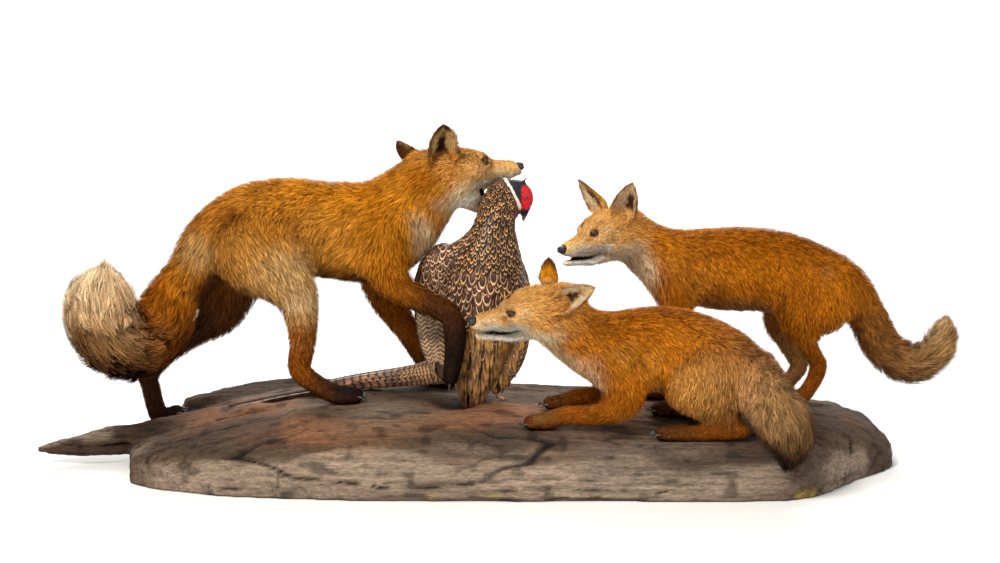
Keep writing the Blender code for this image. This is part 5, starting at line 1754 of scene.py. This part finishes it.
@dataclass
class Pheasant:
    """A cock pheasant that hangs by its neck; its limbs are rows of x, y, z, half width and half depth."""

    body: tuple = table("""
        .074 .01 .519 .023 .019; .067 -.004 .49 .033 .028; .058 -.024 .448 .04 .036;
        .05 -.028 .392 .06 .048; .046 -.025 .333 .068 .054; .039 -.02 .273 .062 .05;
        .03 -.018 .217 .05 .042; .022 -.018 .165 .034 .034; .018 -.018 .135 .02 .026""")
    head: tuple = table("""
        .078 .01 .514 .018 .016; .096 .01 .516 .018 .016; .109 .01 .508 .019 .017;
        .115 .008 .492 .019 .017; .113 .006 .47 .013 .011; .109 .006 .452 .006 .006""")
    throat: tuple = table("""
        .09 .004 .512 .016 .015; .096 .004 .492 .014 .014; .097 .004 .472 .011 .01;
        .094 .002 .455 .006 .007""")
    crest: tuple = table(".108 .008 .52 .009 .008; .113 .01 .527 .007 .006; .116 .01 .531 .005 .005")
    shoulder: tuple = table("""
        .042 -.016 .434 .028 .026; .014 -.014 .408 .028 .026; -.016 -.014 .388 .027 .025;
        -.042 -.012 .371 .025 .021""")
    left_wing: tuple = table("""
        -.03 -.01 .395 .03 .03; -.05 -.012 .35 .036 .024; -.052 -.012 .29 .034 .018;
        -.046 -.012 .23 .028 .014; -.034 -.014 .172 .014 .01""")
    right_wing: tuple = table("""
        .08 -.014 .385 .028 .03; .094 -.01 .33 .03 .024; .094 -.012 .265 .03 .018;
        .084 -.016 .205 .026 .014; .062 -.018 .155 .014 .01""")
    tail: tuple = table("""
        .014 0 .19 .02 .03; -.046 .012 .174 .024 .024; -.105 .022 .162 .022 .016;
        -.205 .03 .148 .018 .01; -.315 .034 .128 .012 .007; -.43 .034 .103 .006 .005""")
    inset: float = 0.004  # from the feathers' outline to the skin
    thinnest: float = 0.0028
    voxel: float = 0.0032

    def build(self) -> None:
        """Makes the skin, the scaled body feathers, the wings, the tail and the head."""
        shells = []
        for rows, across in ((self.body, ALONG_X), (self.head, ALONG_Y), (self.left_wing, ALONG_X),
                             (self.right_wing, ALONG_X), (self.tail, ALONG_Y), (self.shoulder, ALONG_Y),
                             (self.throat, ALONG_Y), (self.crest, ALONG_Y)):
            rows = np.array(rows)
            rows[:, 3:] = np.maximum(rows[:, 3:] - self.inset, self.thinnest)
            shells.append(loft(rows, across, 24))
        verts, tris = fused(Shell.joined(shells).made("bird_form"), self.voxel, 4)
        for x, z in ((0.080, 0.450), (0.086, 0.474)):
            verts, tris = refined(verts, tris, (verts[:, 0] > x) & (verts[:, 2] > z))
        normals = normals_of(verts, tris)
        count = len(verts)
        colour = self.colours(verts)
        bumpy = smooth(0.5, 0.9, colour[:, 0] * (colour[:, 1] < 0.03) * 4)
        verts = verts + normals * (bumpy * 0.0010 * noise(verts, 420.0, 3))[:, None]
        hide = Hide(verts, tris, np.tile(-UP, (count, 1)), *np.zeros((3, count)), colour, np.ones(count),
                    np.zeros(count, int), normals)
        hide.settle()
        skin = hide.made("bird_skin")
        layer = np.ones((count, 4), np.float32)
        layer[:, :3] = colour
        skin.data.color_attributes[COAT].data.foreach_set("color", layer.ravel())
        placed(skin, "plumage", BIRD_SKIN, "pheasant")
        self.scales(hide)
        self.wings(hide)
        self.train(hide)
        self.face()

    @staticmethod
    def colours(verts: Array) -> Array:
        """Dark brown skin, a white collar, a black-green head with a red face."""
        x, y, z = verts.T
        base = np.array(Plumage.BODY.value) * (1 + 0.3 * noise(verts, 60.0, 3))[:, None]
        edge = Pheasant.collar_line(z)
        above = smooth(0.472, 0.480, z)
        ring = (1.0 - smooth(0.0019, 0.0036, np.abs(x - edge + 0.0010 * noise(verts, 150.0, 4)))) * above
        red = smooth(0.104, 0.108, x + 0.002 * noise(verts, 120.0, 5)) * above
        red = red * (1 - smooth(0.514, 0.521, z)) * smooth(0.022, 0.014, y)
        base = over(base, Plumage.HEAD.value, smooth(edge, edge + 0.003, x) * smooth(0.440, 0.448, z))
        base = over(base, Plumage.FACE.value, red)
        base = over(base, Plumage.BEAK.value, smooth(0.466, 0.460, z) * smooth(0.10, 0.104, x))
        return over(base, Plumage.COLLAR.value, ring)

    @staticmethod
    def collar_line(z: Array) -> Array:
        """Where along x the white ring runs at each height."""
        return np.interp(z, (0.455, 0.480, 0.495, 0.510, 0.530), (0.1060, 0.1030, 0.0980, 0.0900, 0.0780))

    @staticmethod
    def vanes(name: str, finish: Finish, spines: Array, ups: Array, widths: Array, hide: Hide,
              blunt: float = 2.6, cup: float = 0.18, patch: float = 0.008) -> None:
        """Feathers as narrow curved leaves.

        Args:
            name: The piece's name.
            finish: Their pattern.
            spines: n feathers, k points along each shaft.
            ups: Which way each point faces.
            widths: Half width of each feather.
            hide: The skin they lie on.
            blunt: How round the tips are.
            cup: How much the vane's edges bend down.
            patch: Size of a feather's spot on the map.
        """
        count, steps = spines.shape[:2]
        columns = np.array((-1.0, -0.5, 0.0, 0.5, 1.0))
        t = np.linspace(0.0, 1.0, steps)
        profile = np.minimum(0.45 + 1.6 * t, 1.0) * np.maximum(1.0 - t**blunt, 0.0) ** 0.5
        side = unit(np.cross(ups, unit(np.gradient(spines, axis=1))))
        reach = (widths[:, None] * profile[None])[:, :, None]
        verts = (spines[:, :, None] + side[:, :, None] * (reach * columns)[..., None]
                 - ups[:, :, None] * (reach * cup * columns**2)[..., None]).reshape(-1, 3)
        grid = np.arange(steps * 5).reshape(steps, 5)
        a, b, c, d = (g.ravel() for g in (grid[:-1, :-1], grid[:-1, 1:], grid[1:, 1:], grid[1:, :-1]))
        quads = np.vstack([np.stack([a, b, c], 1), np.stack([a, c, d], 1)])
        tris = (quads[None] + (np.arange(count) * steps * 5)[:, None, None]).reshape(-1, 3)
        flat = np.broadcast_arrays((columns[None, :] + 1) / 2, t[:, None])
        flat = np.stack(flat, axis=-1).reshape(1, -1, 2)
        near = np.array([hide.tree.find(p)[1] for p in spines[:, 0].tolist()])
        corner = np.zeros((len(hide.verts), 2))
        corner[hide.tris.ravel()] = hide.uv.reshape(-1, 2)
        spot = np.clip(corner[near][:, None] + (flat - 0.5) * patch, 0.002, 0.998).reshape(-1, 2)
        if (normals_of(verts, tris) * np.repeat(ups.reshape(-1, 3), 5, axis=0)).sum() < 0:
            tris = tris[:, ::-1]
        vane = np.tile(flat, (count, 1, 1)).reshape(-1, 2)
        made = mesh_object(name, verts, tris, None, {MAP: spot, "Vane": vane})
        made.data.uv_layers[MAP].active = True
        placed(made, "plumage", finish)

    def shingles(self, rows: Array, across: tuple, low: float, high: float, size: tuple, hide: Hide,
                 rng: np.random.Generator) -> tuple:
        """Staggered roots over a limb.

        Args:
            rows: The limb.
            across: Its width's direction.
            low: First place along it.
            high: Last place.
            size: Feather's length at the first and at the last place.
            hide: The skin.
            rng: Source of chance.

        Returns:
            (roots, normals, directions, lengths)
        """
        path = smooth_rows(rows, 12)
        steps = np.linalg.norm(np.diff(path[:, :3], axis=0), axis=1)
        run = np.concatenate([[0], np.cumsum(steps)])
        columns = np.hstack([path[:, :5], np.gradient(path[:, :3], axis=0)])
        at, row, found = run[-1] * low, 0, []
        while at < run[-1] * high:
            long = size[0] + (size[1] - size[0]) * min(at / run[-1] / 0.6, 1.0)
            here = np.array([np.interp(at, run, column) for column in columns.T])
            centre, half, ahead = here[:3], here[3:5], unit(here[5:])
            side, top = sideways(ahead, across)
            around = max(int(math.pi * (half[0] + half[1]) / (long * (0.50 if long < 0.032 else 0.15))), 5)
            for k in range(around):
                a = 2 * math.pi * (k + 0.5 * (row % 2) + rng.uniform(-0.28, 0.28)) / around
                p = centre + side * half[0] * math.cos(a) + top * half[1] * math.sin(a)
                near = hide.tree.find(p + ahead * rng.uniform(-0.18, 0.18) * long)
                if near[2] < 0.010:
                    found.append((*near[0], *hide.normals[near[1]], *ahead, long * rng.uniform(0.80, 1.25)))
            at += long * 0.40
            row += 1
        found = np.array(found)
        return found[:, :3], found[:, 3:6], found[:, 6:9], found[:, 9]

    def scales(self, hide: Hide) -> None:
        """Overlapping scaled feathers: golden on the neck, scalloped on the mantle, streaked below."""
        rng = np.random.default_rng(41)
        for name, finish, rows, across, low, high, size, wide in (
            ("neck_scales", NECK_VANES, self.body, ALONG_X, 0.0, 0.42, (0.013, 0.022), 0.30),
            ("shoulder_scales", MANTLE_VANES, self.shoulder, ALONG_Y, 0.05, 1.0, (0.019, 0.022), 0.30),
            ("mantle_scales", MANTLE_VANES, self.body, ALONG_X, 0.38, 0.78, (0.026, 0.029), 0.30),
            ("left_wing_scales", MANTLE_VANES, self.left_wing, ALONG_X, 0.0, 0.48, (0.020, 0.023), 0.30),
            ("right_wing_scales", MANTLE_VANES, self.right_wing, ALONG_X, 0.0, 0.42, (0.020, 0.023), 0.30),
            ("lower_flank", FLANK_VANES, self.body, ALONG_X, 0.62, 0.97, (0.040, 0.052), 0.085),
        ):
            found = self.shingles(np.array(rows), across, low, high, size, hide, rng)
            if name == "neck_scales":
                below = found[0][:, 0] < self.collar_line(found[0][:, 2]) - 0.003
                found = [values[below] for values in found]
                breast = np.interp(found[0][:, 2], (0.38, 0.42, 0.45, 0.50), (0.130, 0.098, 0.088, 0.090))
                maroon = found[0][:, 0] > breast
                self.lay("maroon_breast", MAROON_VANES, hide, *(values[maroon] for values in found), rng)
                found = [values[~maroon] for values in found]
            self.lay(name, finish, hide, *found, rng, wide)

    def lay(self, name: str, finish: Finish, hide: Hide, root: Array, normal: Array, ahead: Array,
            long: Array, rng: np.random.Generator, wide: float = 0.30) -> None:
        """Feathers that follow the skin from their roots."""
        lie = hide.flat(ahead + 0.24 * rng.standard_normal(ahead.shape), normal)
        steps = 6
        stations = [(root, normal)] + hide.walk(root, lie, long / (steps - 1), steps - 1, np.zeros_like(lie))
        rise = np.array((0.0, 0.09, 0.13, 0.16, 0.18, 0.20)) * 0.8
        spine = np.stack([p + n * (long * r + 0.0004)[:, None] for (p, n), r in zip(stations, rise)], axis=1)
        self.vanes(name, finish, spine, unit(np.stack([n for _, n in stations], axis=1)), long * wide, hide)

    def ribbons(self, name: str, finish: Finish, rows: tuple, across: tuple, angles: Array, starts: Array,
                ends: Array, half: float, hide: Hide, steps: int) -> None:
        """Long feathers that run along a limb at fixed angles round it."""
        path = smooth_rows(rows, 12)
        columns = np.hstack([path[:, :5], unit(np.gradient(path[:, :3], axis=0))]).T
        along = np.linspace(0.0, 1.0, len(path))
        spines, ups = [], []
        for k, (angle, start, end) in enumerate(zip(angles, starts, ends)):
            t = np.linspace(start, end, steps)
            row = np.stack([np.interp(t, along, column) for column in columns], axis=1)
            ahead = unit(row[:, 5:])
            beyond = np.maximum(t - 1.0, 0.0)[:, None] * np.linalg.norm(path[-1, :3] - path[0, :3])
            side, top = sideways(ahead, across)
            c, s = math.cos(angle), math.sin(angle)
            way = unit(side * (c * row[:, 3:4]) + top * (s * row[:, 4:5]))
            out = unit(side * (c / row[:, 3:4]) + top * (s / row[:, 4:5]))
            radius = np.hypot(c * row[:, 3], s * row[:, 4])[:, None]
            rise = 0.0015 + 0.0009 * (k % 3) + 0.0022 * np.linspace(0, 1, steps)[:, None]
            spines.append(row[:, :3] + way * (radius - self.inset) + out * rise + ahead * beyond)
            ups.append(out)
        widths = np.full(len(spines), half)
        self.vanes(name, finish, np.array(spines), np.array(ups), widths, hide, 5.0, 0.10, 0.010)

    def wings(self, hide: Hide) -> None:
        """Barred long feathers below both wings' scales."""
        around = np.linspace(0.0, 2 * math.pi, 13, endpoint=False)
        ends = 0.98 + 0.10 * np.sin(around * 2 + 1)
        for name, rows, low in (("left_primaries", self.left_wing, 0.36),
                                ("right_primaries", self.right_wing, 0.32)):
            starts = low + 0.05 * np.cos(around * 3)
            self.ribbons(name, WING_VANES, rows, ALONG_X, around, starts, ends, 0.0095, hide, 16)

    def train(self, hide: Hide) -> None:
        """The long barred tail."""
        count, few = 14, 5
        around = np.linspace(-0.25, math.pi + 0.25, count)
        ends = 0.55 + 0.47 * np.sin(np.linspace(0.15, math.pi - 0.15, count)) ** 2
        under = np.linspace(math.pi + 0.5, 2 * math.pi - 0.5, few)
        for name, angles, stops, steps in (("tail_train", around, ends, 44),
                                           ("tail_under", under, np.full(few, 0.7), 30)):
            starts = np.full(len(angles), 0.02)
            self.ribbons(name, TAIL_VANES, self.tail, ALONG_Y, angles, starts, stops, 0.0105, hide, steps)

    def face(self) -> None:
        """The bird's eye, in its red face."""
        for side, name in ((-1, "near"), (1, "far")):
            at = np.array((0.1155, 0.008 + side * 0.0140, 0.498))
            rows = [(*(at + np.array((0, side * k, 0))), r, r)
                    for k, r in table("-.003 .003; 0 .0032; .001 .0025")]
            hard_piece(f"bird_eye_{name}", [loft(rows, ALONG_X, 16, 4)], "eye_glass", BIRD_EYE)


# ---- The wood ----


@dataclass(frozen=True)
class WoodFinish(Finish):
    """Bare weathered wood, with painted shade in its cracks."""

    def dress(self, tree: Tree) -> dict:
        """Long grain, grey and brown patches and a rough bump."""
        grain = self.noise(tree, 26.0, 8.0, (0.35, 5.0, 5.0), 0.62)
        fine = self.noise(tree, 190.0, 6.0, (0.45, 1.6, 1.6), 0.75)
        streak = self.ramp(tree, grain, (0.34, 0.56, 0.53, 0.50), (0.50, 0.98, 0.97, 0.95),
                           (0.66, 1.32, 1.29, 1.24))
        dust = self.ramp(tree, fine, (0.36, 0.50, 0.48, 0.46), (0.64, 1.42, 1.39, 1.34))
        return {"Base Color": self.mix(tree, 0.8, self.mix(tree, 0.85, self.own(tree), streak), dust),
                "Specular IOR Level": 0.25,
                "Normal": self.bump(tree, self.math(tree, "ADD", grain, fine), 0.9, 0.0024)}


@dataclass
class Driftwood:
    """The slab, worn along its grain and cracked."""

    voxel: float = 0.0058
    crack: float = 0.0095

    def build(self) -> None:
        """Wears the wood's plain form and colours it."""
        form = bpy.data.objects.new("driftwood_form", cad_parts["log"].data.copy())
        bpy.context.scene.collection.objects.link(form)
        verts, tris = fused(form, self.voxel, 6)
        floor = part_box("log")[0][2]
        normals = normals_of(verts, tris)
        x, y, z = verts.T
        bend = np.stack([x * 0.16, y + 0.012 * np.sin(x * 9.0) + 0.02 * noise(verts, 6.0, 3), z], axis=1)
        layers = noise(bend, 42.0, 1) + 0.6 * noise(bend, 95.0, 2)
        grain = verts * (0.30, 1, 1)
        across = (y - z) + 0.045 * noise(grain, 9.0, 31) + 0.012 * noise(grain, 34.0, 32)
        split = self.lines(across * 15.0, 0.055) * smooth(0.0, 0.30, noise(grain, 8.0, 8))
        fine = 0.7 * self.lines(across * 58.0 + 0.4, 0.11) * smooth(-0.05, 0.35, noise(grain, 22.0, 10))
        broken = 1.0 - smooth(0.0, 0.05, np.abs(noise(verts, 20.0, 5)))
        broken = broken * smooth(0.45, 0.7, noise(verts, 9.0, 33))
        fine = np.maximum(fine, broken)
        front = smooth(0.10, 0.60, -normals[:, 1]) * smooth(0.07, 0.02, z)
        ledge = self.lines((z + 0.010 * noise(verts * (0.4, 0.4, 1), 16.0, 12)) * 58.0, 0.20) * front
        ledge *= smooth(-0.25, 0.2, noise(verts * (1, 1, 2), 10.0, 13))
        # a deep hole, carved in and painted black as shade
        hole = np.exp(-(((x + 0.015) / 0.040) ** 2 + ((y + 0.050) / 0.034) ** 2) ** 2) * smooth(0.06, 0.10, z)
        split = np.maximum(split, hole)
        wear = 0.0022 * layers + 0.0012 * noise(verts, 120.0, 7) - 0.0014
        deep = -self.crack * split - 0.0028 * fine - 0.0050 * ledge
        moved = verts + normals * ((wear + deep) * smooth(floor + 0.001, floor + 0.008, z))[:, None]
        moved[:, 2] = np.maximum(moved[:, 2], floor)
        # painted shade in the cracks, the fine splits, the ledges and the hole
        dark = np.maximum(split, 0.80 * np.maximum(fine, ledge))
        wood = mesh_object("driftwood", moved, tris, self.colours(moved, normals, dark))
        unwrap(wood)
        placed(wood, "weathered_wood", WoodFinish("weathered_wood", 0.85), "log")

    @staticmethod
    def lines(turns: Array, width: float) -> Array:
        """Thin lines, one at each whole turn."""
        return 1.0 - smooth(0.0, width, np.abs(turns - np.round(turns)))

    @staticmethod
    def colours(verts: Array, normals: Array, dark: Array) -> Array:
        """Grey, brown and rusty patches, with painted shade in the cracks and on faces turned down."""
        x, y, z = verts.T
        bend = verts * (0.40, 1, 1)
        top = smooth(0.30, 0.80, normals[:, 2])
        patch = {seed: noise(bend, scale, seed) for seed, scale in (
            (21, 11.0), (22, 9.0), (23, 12.0), (24, 16.0), (25, 30.0))}
        ridge = smooth(-0.52, -0.62, x) * smooth(0.5, 0.9, normals[:, 2]) * smooth(-0.2, 0.3, patch[25])
        base = np.array((0.262, 0.196, 0.146))
        for colour, share in (
            ((0.082, 0.049, 0.028), top),
            ((0.29, 0.224, 0.164), 0.6 * smooth(-0.1, 0.6, patch[21]) * (1 - 0.55 * top)),  # pale
            ((0.105, 0.082, 0.070), smooth(0.0, 0.45, patch[22]) * 0.80),  # bluish grey
            ((0.255, 0.110, 0.048), smooth(0.20, 0.60, patch[23]) * smooth(0.06, 0.10, z) * 0.7),  # rusty
            ((0.050, 0.032, 0.022), smooth(0.10, 0.50, patch[24]) * top * 0.75),  # dusky
            ((0.060, 0.032, 0.018), smooth(-0.50, -0.62, x)),  # the branch
            ((0.30, 0.23, 0.17), 0.6 * ridge),
            # painted shade in the cracks
            ((0.0, 0.0, 0.0), 0.92 * dark),
        ):
            base = over(base, colour, share)
        base = base * (1 + 0.20 * np.exp(-(((x - 0.24) / 0.12) ** 2)))[:, None]
        right = 0.85 * smooth(0.33, 0.55, x) + 0.25 * smooth(0.58, 0.70, x)
        right = right * smooth(-0.3, 0.3, noise(verts, 14.0, 27))
        base = over(base, (0.085, 0.055, 0.036), right)
        base = over(base, (0.0, 0.0, 0.0), smooth(0.35, 0.6, noise(verts * (0.5, 1, 1), 75.0, 28)) * 0.55)
        moss = smooth(0.40, 0.6, noise(verts, 26.0, 31)) * smooth(0.022, 0.0, z) * (y < -0.15) * 0.7
        base = over(base, (0.48, 0.30, 0.04), moss)
        # painted shade on faces turned down
        return base * (1.0 - 0.5 * smooth(0.2, 0.9, -normals[:, 2]))[:, None]


# ---- The studio ----


@dataclass(frozen=True)
class FloorFinish(Finish):
    """A pale, plain, matt floor."""

    def dress(self, tree: Tree) -> dict:
        """One pale tone, barely mottled."""
        cells = self.noise(tree, 6.0, 2.0)
        return {"Base Color": self.ramp(tree, cells, (0.3, 0.86, 0.855, 0.84), (0.7, 0.88, 0.875, 0.86))}


@dataclass
class Studio:
    """Floor, lights and camera."""

    target: tuple = (0.068, 0.0, 0.343)
    away: float = 4.6
    tilt: float = 12.0
    lens: float = 92.0
    floor: float = 14.0

    def build(self) -> None:
        """Sets the stage."""
        corners = [(x * self.floor, y * self.floor, -0.0005) for x, y in ((-1, -1), (1, -1), (1, 1), (-1, 1))]
        floor = Shell(np.array(corners), [(0, 1, 2, 3)]).made("studio_floor")
        floor.data.materials.append(FloorFinish("studio_floor_paint", 0.9).material())
        world = bpy.data.worlds.new("studio_air")
        world.use_nodes = True
        Finish.feed(world.node_tree, world.node_tree.nodes["Background"], {
            "Color": (1.0, 0.99, 0.97, 1.0), "Strength": 0.50})
        bpy.context.scene.world = world
        self.lamp("key", (-1.4, -2.5, 3.2), 1.2, 172.0, (1.0, 0.96, 0.90), self.target)
        self.lamp("fill", (2.6, -2.4, 1.7), 2.2, 30.0, (0.95, 0.97, 1.0), self.target)
        self.lamp("back", (0.6, 2.6, 2.6), 1.8, 52.0, (1.0, 0.98, 0.95), self.target)
        self.lamp("backdrop", (0.0, 6.0, 4.5), 6.0, 620.0, (1.0, 0.99, 0.97), (0.0, 6.4, 0.0))
        a = math.radians(self.tilt)
        camera = bpy.data.cameras.new("camera")
        camera.lens = self.lens
        camera.sensor_width = 36.0
        at = (self.target[0], -self.away * math.cos(a), self.target[2] + self.away * math.sin(a))
        bpy.context.scene.camera = self.aimed("camera", camera, at, self.target)
        bpy.context.scene.view_settings.view_transform = "Standard"

    @staticmethod
    def aimed(name: str, data: bpy.types.ID, at: tuple, towards: tuple) -> bpy.types.Object:
        """A camera or lamp put in the scene and turned to a place."""
        thing = bpy.data.objects.new(name, data)
        thing.location = at
        thing.rotation_euler = (Vector(towards) - thing.location).to_track_quat("-Z", "Y").to_euler()
        bpy.context.scene.collection.objects.link(thing)
        return thing

    def lamp(self, name: str, at: tuple, size: float, power: float, colour: tuple, towards: tuple) -> None:
        """A soft square light aimed at a place."""
        light = bpy.data.lights.new(name, "AREA")
        light.size = size
        light.energy = power
        light.color = colour
        self.aimed(name, light, at, towards)


def main() -> None:
    """Builds the group and its studio."""
    logging.basicConfig(level=logging.INFO, format="%(message)s", stream=sys.stdout)
    Studio().build()
    Driftwood().build()
    Pheasant().build()
    for fox in (adult(), crouching(), standing()):
        fox.build()


if __name__ == "__main__":
    main()
